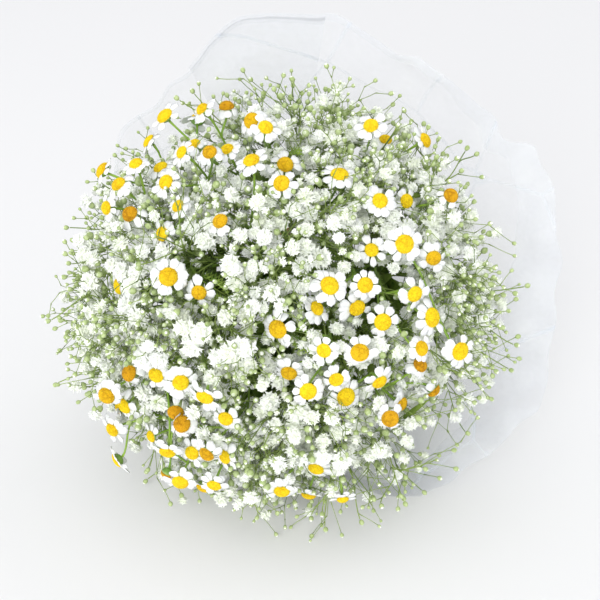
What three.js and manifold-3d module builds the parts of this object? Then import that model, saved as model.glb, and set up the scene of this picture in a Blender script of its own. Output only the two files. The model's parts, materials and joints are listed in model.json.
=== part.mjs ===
// A bunch of daisies and gypsophila, tied with twine in a clear film wrap and laid on its side.
// Millimetres, +Z up. The flowers face -Y, the cut stem ends point to +Y.
import * as THREE from 'three';
import { mergeVertices } from 'three/addons/utils/BufferGeometryUtils.js';
import Module from 'manifold-3d';

const wasm = await Module();
wasm.setup();
const { degToRad, radToDeg } = THREE.MathUtils;

// ---- Driving dimensions ----
// The bunch has a frame of its own: it starts at the tie, +Z runs out through the flowers,
// +Y is the side that ends up on top, and +X is on the viewer's right.
const TILT = degToRad(19); // the flower end rises this much from the surface it lies on
const STEM_TAIL = 140; // cut stems behind the tie
const STEM_RADIUS = 1.25;
const STEM_SIDES = 4;
const STEM_PITCH = 1.62; // the stems stand in a spiral at the tie, about twice this far apart
const TAIL_SPREAD = 1.4; // the cut ends stand this much wider than the stems at the tie
const NECK_HALF = 5; // the stems and the wrap open out this far from the tie's middle
const SPRAY_COUNT = 44;
const GOLDEN_TURN = degToRad(137.508);

// The flowers form a dome: its middle on the axis, its half length, its radius, its lower edge
const HEAD_CENTRE = 140;
const HEAD_REACH = 95;
const HEAD_RADIUS = 116;
const HEAD_EDGE = degToRad(100);
const HUB_SHARE = 0.55; // a spray starts to branch this far from the tie to the dome
const VIEW_TILT = degToRad(13); // the dome is seen from this far above its axis

// Stalks: the radius under the flower, and at the root, where another stalk or a stem carries it
const STALK_TOP = 1.2;
const STALK_ROOT = 0.3;
const STALK_SIDES = 3;
const FORKS = { from: 0.3, to: 0.7 }; // a later stalk leaves its neighbour this far along
const HUB_INSET = 1.5; // the first stalk starts this deep in the end of the stem
const STALK_PULL = 0.6; // how far a flower turns from the dome's way out to its stalk's
const STALK_LEAN = 0.5; // least cosine between a stalk and the way its flower faces

// Flowers and buds: radius, height above the outline, depth below it, how far they lean at random.
// A floret stands for two or three that grow together, so it is larger than a single one.
const SIZES = {
  daisy: { radius: 9.5, height: 2.4, depth: 2.6, lean: 0.25 },
  floret: { radius: 7.6, height: 4.4, depth: 4.6, lean: 0.3 },
  bud: { radius: 2.2, height: 2.2, depth: 2, lean: 0.4 },
};
const PETAL_COUNT = 8;
const PETAL_DROOP = 0.8;
const PETAL_SPAN = { from: 0.2, to: 0.8 }; // a petal's outer end, as shares of its turn
const DISC_RADIUS = 4.4;
const DISC_EDGE = 0.7; // height of the disc's edge
const NOTCH_RADIUS = 5.3; // the gaps between petals reach in to here
const FLORET_CORNERS = 8;
const FLORET_RUFFLE = 5.9; // a floret's rim goes in to here, and down and up between these
const FLORET_RIM = { low: -1, high: 0.6 };
const BUD_CORNERS = 4;
const GAP = 0.5; // room kept between pieces of different sprays

// Where the daisies stand, seen from the front: middle, half width, half height and number
const DAISY_CLUSTERS = [
  { x: -50, y: 70, across: 54, high: 36, count: 24 },
  { x: 58, y: 56, across: 36, high: 36, count: 10 },
  { x: 42, y: -16, across: 46, high: 42, count: 22 },
  { x: -64, y: -64, across: 38, high: 44, count: 21 },
  { x: 14, y: -92, across: 26, high: 12, count: 4 },
  { x: -62, y: 10, across: 26, high: 10, count: 3 },
];
const DAISY_DEPTHS = { from: -8, to: 16 };
// Florets and buds stand all over the dome: their number, their lower edge, their depths
const SCATTER = {
  floret: { count: 132, edge: degToRad(100), from: 0, to: 30 },
  bud: { count: 86, edge: degToRad(104), from: -16, to: 14 },
};
const THROWS = 30; // seeded throws for each flower that is to find room

// The film wrap: a cone gathered at the tie, open round the flowers, with a short skirt behind
const WRAP_THICKNESS = 0.9;
const WRAP_NECK = 13;
const WRAP_SKIRT = 58;
const SKIRT_RADIUS = 25;
const WRAP_FLARE = 0.9;
const PLEAT_COUNT = 9;
const PLEAT_DEPTH = 2.5;
const WRAP_COLUMNS = 36;
const WRAP_SHARES = [0, 0.16, 0.38, 0.6, 0.8, 1];
const WRAP_LEAN = 0.66; // least cosine between the film and the axis
// Its rim: angle round the axis, distance from the axis, distance from the tie
const WRAP_RIM = [
  { angle: -180, out: 106, along: 96 },
  { angle: -150, out: 102, along: 90 },
  { angle: -115, out: 98, along: 88 },
  { angle: -88, out: 102, along: 98 },
  { angle: -61, out: 130, along: 138 },
  { angle: -30, out: 144, along: 134 },
  { angle: -17, out: 153, along: 134 },
  { angle: 5, out: 144, along: 128 },
  { angle: 31, out: 152, along: 132 },
  { angle: 39, out: 145, along: 122 },
  { angle: 65, out: 146, along: 128 },
  { angle: 91, out: 148, along: 132 },
  { angle: 124, out: 128, along: 122 },
  { angle: 160, out: 110, along: 104 },
  { angle: 180, out: 106, along: 96 },
];

// Twine round the neck of the wrap
const TIE_WIDTH = 8;
const TIE_INNER = 14;
const TIE_OUTER = 16.2;
const TIE_ROUND = 0.5;
const TIE_SIDES = 16;

const MERGE_WITHIN = 1e-4; // corners this near are one

// The cut ends rest on the surface, and this is how high that holds the tie
const TAIL_RADIUS = STEM_PITCH * Math.sqrt(SPRAY_COUNT - 0.5) * TAIL_SPREAD + STEM_RADIUS;
const TIE_HEIGHT = STEM_TAIL * Math.sin(TILT) + TAIL_RADIUS * Math.cos(TILT);

// Directions in the bunch's frame: along the stems, up, and the front view's two
const AXIS = new THREE.Vector3(0, 0, 1);
const UP = new THREE.Vector3(0, Math.cos(TILT), Math.sin(TILT));
const SEEN_FROM = new THREE.Vector3(0, Math.sin(VIEW_TILT), Math.cos(VIEW_TILT));
const SEEN_UP = new THREE.Vector3(0, Math.cos(VIEW_TILT), -Math.sin(VIEW_TILT));

// ---- Seeded draws, so that every build gives the same bunch ----
const SEED_LIMIT = 2147483647;
let seed = 2024;

function draw(low, high) {
  seed = (seed * 16807) % SEED_LIMIT;
  return low + (high - low) * (seed / SEED_LIMIT);
}

// ---- Places on the dome ----
function onDome(cosine, turn, depth) {
  const across = (HEAD_RADIUS - depth) * Math.sqrt(1 - cosine * cosine);
  const along = HEAD_CENTRE + (HEAD_REACH - depth) * cosine;
  return new THREE.Vector3(across * Math.cos(turn), across * Math.sin(turn), along);
}

function domeNormal(point) {
  const along = (point.z - HEAD_CENTRE) * (HEAD_RADIUS / HEAD_REACH) ** 2;
  return new THREE.Vector3(point.x, point.y, along).normalize();
}

// The point of the dome that the front view shows at x, y, or null where the view misses the dome
function seenAt(x, y, depth) {
  const flat = new THREE.Vector3(x, 0, 0).addScaledVector(SEEN_UP, y);
  const across = (HEAD_RADIUS - depth) ** 2;
  const along = (HEAD_REACH - depth) ** 2;
  const a = SEEN_FROM.y ** 2 / across + SEEN_FROM.z ** 2 / along;
  const b = (flat.y * SEEN_FROM.y) / across + (flat.z * SEEN_FROM.z) / along;
  const c = (flat.x ** 2 + flat.y ** 2) / across + flat.z ** 2 / along - 1;
  const inside = b * b - a * c;
  if (inside < 0) return null;
  const point = flat.addScaledVector(SEEN_FROM, (Math.sqrt(inside) - b) / a);
  return point.setZ(point.z + HEAD_CENTRE);
}

// ---- The wrap's form ----
function rimAt(turn) {
  const angle = radToDeg(turn);
  const next = Math.max(1, WRAP_RIM.findIndex((key) => key.angle >= angle));
  const [a, b] = [WRAP_RIM[next - 1], WRAP_RIM[next]];
  const share = (1 - Math.cos((Math.PI * (angle - a.angle)) / (b.angle - a.angle))) / 2;
  return { out: a.out + (b.out - a.out) * share, along: a.along + (b.along - a.along) * share };
}

// Distance from the axis to the surface below, where the film lies flat on it
function surfaceRadius(turn, along) {
  const down = -Math.sin(turn) * Math.cos(TILT);
  const height = TIE_HEIGHT + along * Math.sin(TILT) - WRAP_THICKNESS / 2;
  return down > 0 ? height / down : Infinity;
}

function wrapRadius(turn, along) {
  const past = Math.max(Math.abs(along) - NECK_HALF, 0);
  if (along < 0) return WRAP_NECK + (SKIRT_RADIUS - WRAP_NECK) * (past / (WRAP_SKIRT - NECK_HALF));
  const rim = rimAt(turn);
  const share = Math.min(past / (rim.along - NECK_HALF), 1);
  const open = WRAP_NECK + (rim.out - WRAP_NECK) * share ** WRAP_FLARE;
  const pleat = PLEAT_DEPTH * share * Math.sin(PLEAT_COUNT * turn);
  return Math.min(open + pleat, surfaceRadius(turn, along));
}

function clearsWrap(ball) {
  const { x, y, z } = ball.centre;
  const turn = Math.atan2(y, x);
  if (z - ball.radius > rimAt(turn).along + GAP) return true;
  const room = (wrapRadius(turn, z) - Math.hypot(x, y)) * WRAP_LEAN;
  return room > ball.radius + GAP + WRAP_THICKNESS;
}

// ---- The room that pieces take, as balls, so that sprays stay clear of each other ----
const BALL_STEP = 3;
const PETAL_BALLS = 10;
const taken = [];

function stalkBalls(spray, from, to, radius) {
  const count = Math.ceil(from.distanceTo(to) / BALL_STEP);
  const centres = Array.from({ length: count + 1 }, (_, i) => from.clone().lerp(to, i / count));
  return centres.map((centre) => ({ spray, flower: false, centre, radius }));
}

function turned(facing, spin) {
  const lean = new THREE.Quaternion().setFromUnitVectors(AXIS, facing);
  return lean.multiply(new THREE.Quaternion().setFromAxisAngle(AXIS, spin));
}

function flowerBalls(kind, spray, centre, facing) {
  const { radius } = SIZES[kind];
  if (kind !== 'daisy') return [{ spray, flower: true, centre, radius }];
  const lean = turned(facing, 0);
  const small = radius / 4;
  const edges = ring(PETAL_BALLS, () => radius - small, () => -PETAL_DROOP / 2);
  const petals = edges.map((edge) => edge.applyQuaternion(lean).add(centre));
  const balls = petals.map((petal) => ({ spray, flower: true, centre: petal, radius: small }));
  return [{ spray, flower: true, centre, radius: radius / 2 }, ...balls];
}

// Stalks of one spray may meet, and nothing else may
function apart(ball, other) {
  if (ball.spray === other.spray && !ball.flower && !other.flower) return true;
  return ball.centre.distanceTo(other.centre) > ball.radius + other.radius + GAP;
}

function clears(balls) {
  return balls.every((ball) => clearsWrap(ball) && taken.every((other) => apart(ball, other)));
}

// A ring of points about the upright axis, anticlockwise from above
function ring(count, radiusAt, heightAt, start = 0) {
  return Array.from({ length: count }, (_, i) => {
    const turn = ((i + start) / count) * 2 * Math.PI;
    return new THREE.Vector3(radiusAt(i) * Math.cos(turn), radiusAt(i) * Math.sin(turn), heightAt(i));
  });
}

// ---- The sprays: one stem each, in a spiral at the tie and over the dome ----
function inCluster(point) {
  const from = point.clone().setZ(point.z - HEAD_CENTRE);
  const up = from.dot(SEEN_UP);
  return from.dot(SEEN_FROM) > 0 && DAISY_CLUSTERS.some((cluster) => (
    ((from.x - cluster.x) / cluster.across) ** 2 + ((up - cluster.y) / cluster.high) ** 2 < 1));
}

function makeSpray(index) {
  const share = (index + 0.5) / SPRAY_COUNT;
  const turn = index * GOLDEN_TURN;
  const out = STEM_PITCH * Math.sqrt(index + 0.5);
  const place = new THREE.Vector3(out * Math.cos(turn), out * Math.sin(turn), NECK_HALF);
  const end = new THREE.Vector3(place.x * TAIL_SPREAD, place.y * TAIL_SPREAD, -STEM_TAIL);
  const tip = onDome(1 - share * (1 - Math.cos(HEAD_EDGE)), turn, 0);
  const hub = place.clone().lerp(tip, HUB_SHARE);
  return { index, kind: inCluster(tip) ? 'daisy' : 'gypsophila', place, end, tip, hub, flowers: [] };
}

const sprays = Array.from({ length: SPRAY_COUNT }, (_, index) => makeSpray(index));
sprays.forEach((spray) => taken.push(...stalkBalls(spray.index, spray.place, spray.hub, STEM_RADIUS)));

function nearest(list, point, placeOf) {
  return list.reduce((best, item) => (
    placeOf(item).distanceTo(point) < placeOf(best).distanceTo(point) ? item : best));
}

// A spray's first stalk leaves its hub, and each later one forks off the nearest stalk there is
function rootFor(spray, point, share) {
  if (spray.flowers.length === 0) {
    return spray.hub.clone().addScaledVector(spray.place.clone().sub(spray.hub).normalize(), HUB_INSET);
  }
  const sibling = nearest(spray.flowers, point, (flower) => flower.centre);
  return sibling.root.clone().lerp(sibling.under, share);
}

// The way a flower faces: out from the dome, part of the way to its stalk's, and a little off
function facingAt(point, root, lean) {
  const way = point.clone().sub(root).normalize().multiplyScalar(STALK_PULL);
  const off = new THREE.Vector3(draw(-lean, lean), draw(-lean, lean), draw(-lean, lean));
  return domeNormal(point).add(way).add(off).normalize();
}

// Lifts a flower that would reach into the surface, or into the film where that lies on it
function lifted(point, facing, size) {
  const level = Math.abs(facing.dot(UP));
  const reach = size.radius * Math.sqrt(1 - level * level) + size.height * level;
  const low = TIE_HEIGHT + point.dot(UP) - reach;
  const onFilm = point.z < rimAt(Math.atan2(point.y, point.x)).along + size.radius;
  const floor = onFilm ? 2 * WRAP_THICKNESS + GAP : 0;
  return low < floor ? point.clone().addScaledVector(UP, floor - low) : point;
}

// Puts a flower on the nearest spray that bears its kind, if it and its stalk find room there
function placeFlower(kind, spot) {
  const bearer = kind === 'daisy' ? 'daisy' : 'gypsophila';
  const size = SIZES[kind];
  const spray = nearest(sprays.filter((each) => each.kind === bearer), spot, (each) => each.tip);
  const root = rootFor(spray, spot, draw(FORKS.from, FORKS.to));
  const facing = facingAt(spot, root, size.lean);
  const spin = draw(0, 2 * Math.PI);
  const centre = lifted(spot, facing, size);
  if (centre.clone().sub(root).normalize().dot(facing) < STALK_LEAN) return false;
  const under = centre.clone().addScaledVector(facing, -size.depth);
  const stalk = stalkBalls(spray.index, root, under, STALK_TOP);
  const balls = [...flowerBalls(kind, spray.index, centre, facing), ...stalk];
  if (!clears(balls)) return false;
  taken.push(...balls);
  spray.flowers.push({ kind, centre, under, facing, root, spin });
  return true;
}

function throwDaisy(cluster) {
  const out = Math.sqrt(draw(0, 1));
  const turn = draw(0, 2 * Math.PI);
  const x = cluster.x + cluster.across * out * Math.cos(turn);
  const y = cluster.y + cluster.high * out * Math.sin(turn);
  const spot = seenAt(x, y, draw(DAISY_DEPTHS.from, DAISY_DEPTHS.to));
  return spot !== null && placeFlower('daisy', spot);
}

function throwSmall(kind) {
  const { edge, from, to } = SCATTER[kind];
  const spot = onDome(draw(Math.cos(edge), 1), draw(-Math.PI, Math.PI), draw(from, to));
  return placeFlower(kind, spot);
}

function throwUntil(count, thrown) {
  let placed = 0;
  for (let i = 0; i < count * THROWS && placed < count; i++) {
    if (thrown()) placed += 1;
  }
}

DAISY_CLUSTERS.forEach((cluster) => throwUntil(cluster.count, () => throwDaisy(cluster)));
['floret', 'bud'].forEach((kind) => throwUntil(SCATTER[kind].count, () => throwSmall(kind)));

// ---- Shells and solids ----
// A closed shell from its faces, each a list of three points
function shellOf(faces) {
  const corners = new THREE.BufferGeometry().setFromPoints(faces.flat());
  const geometry = mergeVertices(corners, MERGE_WITHIN);
  geometry.computeVertexNormals();
  return geometry;
}

function solidOf(geometry) {
  return new wasm.Manifold(new wasm.Mesh({
    numProp: 3,
    vertProperties: new Float32Array(geometry.attributes.position.array),
    triVerts: new Uint32Array(geometry.index.array),
  }));
}

function geometryOf(solid) {
  const mesh = solid.getMesh();
  const geometry = new THREE.BufferGeometry();
  geometry.setAttribute('position', new THREE.BufferAttribute(mesh.vertProperties, 3));
  geometry.setIndex(new THREE.BufferAttribute(mesh.triVerts, 1));
  geometry.computeVertexNormals();
  return geometry;
}

// Faces that close a ring, seen anticlockwise from outside
function capFaces(corners) {
  return corners.slice(2).map((corner, i) => [corners[0], corners[i + 1], corner]);
}

// Side faces between two rings, with the second ring below the first
function sideFaces(upper, lower) {
  return upper.flatMap((corner, i) => {
    const next = (i + 1) % upper.length;
    return [[corner, lower[i], lower[next]], [corner, lower[next], upper[next]]];
  });
}

// Faces from a flower's outline down to the ring at its stalk's top
function undersideFaces(outline, top) {
  const ringAt = (i) => top[Math.floor(((i % outline.length) * top.length) / outline.length)];
  return outline.flatMap((corner, i) => {
    const next = outline[(i + 1) % outline.length];
    const [here, there] = [ringAt(i), ringAt(i + 1)];
    return here === there ? [[here, next, corner]] : [[here, next, corner], [here, there, next]];
  });
}

// A daisy's outline goes notch, petal corner, petal corner, and its disc is a low cone
function daisyTop() {
  const notches = ring(PETAL_COUNT, () => NOTCH_RADIUS, () => 0);
  const lefts = ring(PETAL_COUNT, () => SIZES.daisy.radius, () => -PETAL_DROOP, PETAL_SPAN.from);
  const rights = ring(PETAL_COUNT, () => SIZES.daisy.radius, () => -PETAL_DROOP, PETAL_SPAN.to);
  const shoulders = ring(PETAL_COUNT, () => DISC_RADIUS, () => DISC_EDGE);
  const middle = new THREE.Vector3(0, 0, SIZES.daisy.height);
  const faces = shoulders.flatMap((shoulder, i) => {
    const next = (i + 1) % PETAL_COUNT;
    return [
      [middle, shoulder, shoulders[next]],
      [shoulder, notches[i], lefts[i]],
      [shoulder, lefts[i], rights[i]],
      [shoulder, rights[i], shoulders[next]],
      [shoulders[next], rights[i], notches[next]],
    ];
  });
  return { outline: notches.flatMap((notch, i) => [notch, lefts[i], rights[i]]), faces };
}

function fanTop(outline, height) {
  const tip = new THREE.Vector3(0, 0, height);
  return { outline, faces: outline.map((corner, i) => [tip, corner, outline[(i + 1) % outline.length]]) };
}

// A floret is a puff with a ruffled rim
function floretTop() {
  const { radius, height } = SIZES.floret;
  const outAt = (i) => (i % 2 ? FLORET_RUFFLE : radius);
  const upAt = (i) => (i % 2 ? FLORET_RIM.low : FLORET_RIM.high);
  return fanTop(ring(FLORET_CORNERS, outAt, upAt), height);
}

function budTop() {
  return fanTop(ring(BUD_CORNERS, () => SIZES.bud.radius, () => 0), SIZES.bud.height);
}

const TOPS = { daisy: daisyTop, floret: floretTop, bud: budTop };

// One closed shell for a flower and its stalk, down to the stalk's root
function flowerSolid(flower) {
  const { outline, faces } = TOPS[flower.kind]();
  const { depth } = SIZES[flower.kind];
  const pose = turned(flower.facing, flower.spin);
  const root = flower.root.clone().sub(flower.centre).applyQuaternion(pose.clone().invert());
  const way = root.clone().setZ(root.z + depth).negate().normalize();
  const lean = new THREE.Quaternion().setFromUnitVectors(AXIS, way);
  const top = ring(STALK_SIDES, () => STALK_TOP, () => -depth);
  const bottom = ring(STALK_SIDES, () => STALK_ROOT, () => 0).map((p) => p.applyQuaternion(lean).add(root));
  faces.push(...undersideFaces(outline, top), ...sideFaces(top, bottom), ...capFaces(bottom.reverse()));
  const { x, y, z } = flower.centre;
  return solidOf(shellOf(faces).applyQuaternion(pose).translate(x, y, z));
}

// A stem runs from its cut end past the tie to the hub
function stemSolid(spray) {
  const way = spray.hub.clone().sub(spray.place).normalize();
  const lean = new THREE.Quaternion().setFromUnitVectors(AXIS, way);
  const section = () => ring(STEM_SIDES, () => STEM_RADIUS, () => 0);
  const hub = section().map((point) => point.applyQuaternion(lean).add(spray.hub));
  const place = section().map((point) => point.add(spray.place));
  const end = section().map((point) => point.add(spray.end));
  const faces = [...capFaces(hub), ...sideFaces(hub, place), ...sideFaces(place, end)];
  return solidOf(shellOf([...faces, ...capFaces(end.reverse())]));
}

function sprayGeometry(spray) {
  return geometryOf(wasm.Manifold.union([stemSolid(spray), ...spray.flowers.map(flowerSolid)]));
}

// ---- The wrap: rings of points from the skirt to the rim, on both sides of the film ----
const WRAP_ROWS = WRAP_SHARES.length + 2;

function wrapPoint(column, row) {
  const turn = ((column % WRAP_COLUMNS) / WRAP_COLUMNS) * 2 * Math.PI - Math.PI;
  const reach = rimAt(turn).along - NECK_HALF;
  const along = row < 2 ? [-WRAP_SKIRT, -NECK_HALF][row] : NECK_HALF + reach * WRAP_SHARES[row - 2];
  const out = wrapRadius(turn, along);
  return new THREE.Vector3(out * Math.cos(turn), out * Math.sin(turn), along);
}

function wrapNormal(column, row) {
  const around = wrapPoint(column + 1, row).sub(wrapPoint(column + WRAP_COLUMNS - 1, row));
  const above = wrapPoint(column, Math.min(row + 1, WRAP_ROWS - 1));
  const up = above.sub(wrapPoint(column, Math.max(row - 1, 0)));
  return around.cross(up).normalize();
}

// One side of the film, as rings from the skirt to the rim
function wrapSide(offset) {
  return Array.from({ length: WRAP_ROWS }, (_, row) => (
    Array.from({ length: WRAP_COLUMNS }, (__, column) => (
      wrapPoint(column, row).addScaledVector(wrapNormal(column, row), offset)))));
}

function wrapGeometry() {
  const outer = wrapSide(WRAP_THICKNESS / 2);
  const inner = wrapSide(-WRAP_THICKNESS / 2);
  const faces = [...sideFaces(inner.at(-1), outer.at(-1)), ...sideFaces(outer[0], inner[0])];
  for (let row = 1; row < WRAP_ROWS; row++) {
    faces.push(...sideFaces(outer[row], outer[row - 1]));
    faces.push(...sideFaces(inner[row], inner[row - 1]).map((face) => face.reverse()));
  }
  return shellOf(faces);
}

function tieGeometry() {
  const half = TIE_WIDTH / 2;
  const profile = [
    [TIE_INNER, -half],
    [TIE_OUTER - TIE_ROUND, -half],
    [TIE_OUTER, 0],
    [TIE_OUTER - TIE_ROUND, half],
    [TIE_INNER, half],
    [TIE_INNER, -half],
  ];
  const points = profile.map(([out, along]) => new THREE.Vector2(out, along));
  return new THREE.LatheGeometry(points, TIE_SIDES).rotateX(Math.PI / 2);
}

// ---- Materials and the assembly ----
const LOOKS = {
  daisy: { color: '#f4f4ee', roughness: 0.6, metalness: 0 },
  gypsophila: { color: '#e4ebd8', roughness: 0.7, metalness: 0 },
  wrap: { color: '#eef1f6', roughness: 0.35, metalness: 0 },
  tie: { color: '#c2a878', roughness: 0.85, metalness: 0 },
};

function node(name, geometry, look) {
  const mesh = new THREE.Mesh(geometry, new THREE.MeshStandardMaterial(LOOKS[look]));
  mesh.name = name;
  return mesh;
}

const bunch = new THREE.Group();
const bearing = sprays.filter((spray) => spray.flowers.length > 0);
for (const kind of ['daisy', 'gypsophila']) {
  bearing.filter((spray) => spray.kind === kind).forEach((spray, i) => {
    const name = `${kind}_spray_${String(i + 1).padStart(2, '0')}`;
    bunch.add(node(name, sprayGeometry(spray), kind));
  });
}
bunch.add(node('film_wrap', wrapGeometry(), 'wrap'));
bunch.add(node('twine_tie', tieGeometry(), 'tie'));

// Laid on its side, with the origin under the middle of it on the surface
bunch.rotation.x = Math.PI / 2 - TILT;
const part = new THREE.Group().add(bunch);
const box = new THREE.Box3().setFromObject(part, true);
const middle = box.getCenter(new THREE.Vector3());
bunch.position.set(-middle.x, -middle.y, -box.min.z);

export default part;
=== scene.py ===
import json
import math

import bpy
import numpy as np
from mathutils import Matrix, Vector

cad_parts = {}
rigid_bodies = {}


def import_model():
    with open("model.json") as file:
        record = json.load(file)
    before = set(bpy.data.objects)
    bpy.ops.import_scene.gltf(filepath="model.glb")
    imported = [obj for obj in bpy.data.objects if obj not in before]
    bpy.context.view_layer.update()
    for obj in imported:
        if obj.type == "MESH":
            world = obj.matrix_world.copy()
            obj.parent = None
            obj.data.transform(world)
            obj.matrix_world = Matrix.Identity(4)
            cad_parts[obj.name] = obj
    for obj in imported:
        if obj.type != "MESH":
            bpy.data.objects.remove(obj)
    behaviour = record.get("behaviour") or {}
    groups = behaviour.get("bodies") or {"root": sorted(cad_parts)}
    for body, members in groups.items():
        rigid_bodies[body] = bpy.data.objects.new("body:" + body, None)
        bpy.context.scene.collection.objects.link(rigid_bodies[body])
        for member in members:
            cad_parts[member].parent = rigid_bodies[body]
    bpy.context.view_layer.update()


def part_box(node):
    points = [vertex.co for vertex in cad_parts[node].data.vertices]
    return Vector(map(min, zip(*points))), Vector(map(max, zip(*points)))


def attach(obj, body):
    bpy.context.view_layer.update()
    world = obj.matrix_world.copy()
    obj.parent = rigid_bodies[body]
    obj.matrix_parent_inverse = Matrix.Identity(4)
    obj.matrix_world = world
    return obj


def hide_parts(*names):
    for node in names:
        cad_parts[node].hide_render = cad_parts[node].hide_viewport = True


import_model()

# ---- The plan of the bunch ----
# A hand-tied bunch: 44 cut stems cross in a spiral at the tie and fan out to a dome of flowers.
# Every stem, stalk and flower gets its place here by a rule with seeded draws, in millimetres and
# in the bunch's own frame: from the tie, +Z out through the flowers, +Y the side that lies on top.
MM = 0.001
TILT = math.radians(19)
STEM_TAIL = 140
STEM_PITCH = 1.62
STEM_RADIUS = 1.25
TAIL_SPREAD = 1.4
NECK_HALF = 5
SPRAY_COUNT = 44
GOLDEN_TURN = math.radians(137.508)
HEAD_CENTRE = 140
HEAD_REACH = 95
HEAD_RADIUS = 116
HEAD_EDGE = math.radians(100)
HUB_SHARE = 0.55
VIEW_TILT = math.radians(13)
STALK_TOP = 1.2
FORKS = (0.3, 0.7)
HUB_INSET = 1.5
STALK_PULL = 0.6
STALK_LEAN = 0.5
SIZES = {
    "daisy": {"radius": 9.5, "height": 2.4, "depth": 2.6, "lean": 0.25},
    "floret": {"radius": 7.6, "height": 4.4, "depth": 4.6, "lean": 0.3},
    "bud": {"radius": 2.2, "height": 2.2, "depth": 2, "lean": 0.4},
}
PETAL_DROOP = 0.8
PETAL_BALLS = 10
BALL_STEP = 3
GAP = 0.5
DAISY_CLUSTERS = [  # middle, half width, half height and number, seen from the front
    (-50, 70, 54, 36, 24), (58, 56, 36, 36, 10), (42, -16, 46, 42, 22),
    (-64, -64, 38, 44, 21), (14, -92, 26, 12, 4), (-62, 10, 26, 10, 3),
]
DAISY_DEPTHS = (-8, 16)
SCATTER = {  # number, lower edge on the dome, and depths
    "floret": {"count": 132, "edge": math.radians(100), "depths": (0, 30)},
    "bud": {"count": 86, "edge": math.radians(104), "depths": (-16, 14)},
}
THROWS = 30
WRAP_THICKNESS = 0.9
WRAP_NECK = 13
WRAP_SKIRT = 58
SKIRT_RADIUS = 25
WRAP_FLARE = 0.9
PLEAT_COUNT = 9
PLEAT_DEPTH = 2.5
WRAP_LEAN = 0.66
WRAP_RIM = [  # angle round the axis, distance from the axis, distance from the tie
    (-180, 106, 96), (-150, 102, 90), (-115, 98, 88), (-88, 102, 98), (-61, 130, 138),
    (-30, 144, 134), (-17, 153, 134), (5, 144, 128), (31, 152, 132), (39, 145, 122),
    (65, 146, 128), (91, 148, 132), (124, 128, 122), (160, 110, 104), (180, 106, 96),
]
TAIL_RADIUS = STEM_PITCH * math.sqrt(SPRAY_COUNT - 0.5) * TAIL_SPREAD + STEM_RADIUS
TIE_HEIGHT = STEM_TAIL * math.sin(TILT) + TAIL_RADIUS * math.cos(TILT)
UP = np.array([0, math.cos(TILT), math.sin(TILT)])
SEEN_FROM = np.array([0, math.sin(VIEW_TILT), math.cos(VIEW_TILT)])
SEEN_UP = np.array([0, math.cos(VIEW_TILT), -math.sin(VIEW_TILT)])
SEED_FACTOR = 16807
SEED_LIMIT = 2147483647
seed = 2024


def draw(low, high):
    global seed
    seed = seed * SEED_FACTOR % SEED_LIMIT
    return low + (high - low) * (seed / SEED_LIMIT)


def span(vector):
    return math.sqrt(vector @ vector)


def unit(vector):
    return vector / span(vector)


def on_dome(cosine, turn, depth):
    across = (HEAD_RADIUS - depth) * math.sqrt(1 - cosine * cosine)
    along = HEAD_CENTRE + (HEAD_REACH - depth) * cosine
    return np.array([across * math.cos(turn), across * math.sin(turn), along])


def dome_normal(point):
    along = (point[2] - HEAD_CENTRE) * (HEAD_RADIUS / HEAD_REACH) ** 2
    return unit(np.array([point[0], point[1], along]))


def seen_at(x, y, depth):
    """The point of the dome that the front view shows at x, y, or None where it shows no dome."""
    flat = np.array([x, 0, 0]) + SEEN_UP * y
    across = (HEAD_RADIUS - depth) ** 2
    along = (HEAD_REACH - depth) ** 2
    a = SEEN_FROM[1] ** 2 / across + SEEN_FROM[2] ** 2 / along
    b = flat[1] * SEEN_FROM[1] / across + flat[2] * SEEN_FROM[2] / along
    c = (flat[0] ** 2 + flat[1] ** 2) / across + flat[2] ** 2 / along - 1
    inside = b * b - a * c
    if inside < 0:
        return None
    return flat + SEEN_FROM * ((math.sqrt(inside) - b) / a) + np.array([0, 0, HEAD_CENTRE])


def rim_at(turn):
    """The wrap's rim in one direction: its distance from the axis, and from the tie."""
    angle = math.degrees(turn)
    after = max(1, next(i for i, key in enumerate(WRAP_RIM) if key[0] >= angle - 1e-9))
    a, b = WRAP_RIM[after - 1], WRAP_RIM[after]
    share = (1 - math.cos(math.pi * (angle - a[0]) / (b[0] - a[0]))) / 2
    return a[1] + (b[1] - a[1]) * share, a[2] + (b[2] - a[2]) * share


def surface_radius(turn, along):
    """Distance from the axis to the surface that the bunch lies on."""
    down = -math.sin(turn) * math.cos(TILT)
    height = TIE_HEIGHT + along * math.sin(TILT) - WRAP_THICKNESS / 2
    return height / down if down > 0 else math.inf


def wrap_radius(turn, along):
    past = max(abs(along) - NECK_HALF, 0)
    if along < 0:
        return WRAP_NECK + (SKIRT_RADIUS - WRAP_NECK) * (past / (WRAP_SKIRT - NECK_HALF))
    out, reach = rim_at(turn)
    share = min(past / (reach - NECK_HALF), 1)
    cone = WRAP_NECK + (out - WRAP_NECK) * share ** WRAP_FLARE
    pleat = PLEAT_DEPTH * share * math.sin(PLEAT_COUNT * turn)
    return min(cone + pleat, surface_radius(turn, along))


def clears_wrap(centre, radius):
    turn = math.atan2(centre[1], centre[0])
    if centre[2] - radius > rim_at(turn)[1] + GAP:
        return True
    room = (wrap_radius(turn, centre[2]) - math.hypot(centre[0], centre[1])) * WRAP_LEAN
    return room > radius + GAP + WRAP_THICKNESS


def turned(facing, spin):
    """The rotation that leans +Z over to a direction, after a spin about it."""
    x, y, z = facing
    k = 1 / (1 + z)
    lean = np.array([[1 - k * x * x, -k * x * y, x], [-k * x * y, 1 - k * y * y, y], [-x, -y, z]])
    c, s = math.cos(spin), math.sin(spin)
    return lean @ np.array([[c, -s, 0], [s, c, 0], [0, 0, 1]])


# The room that is taken is a list of balls: centre, radius, spray, and 1 for a flower
def balls_of(centres, radius, spray, flower):
    facts = np.tile([radius, spray, flower], (len(centres), 1))
    return np.hstack([np.array(centres), facts])


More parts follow.
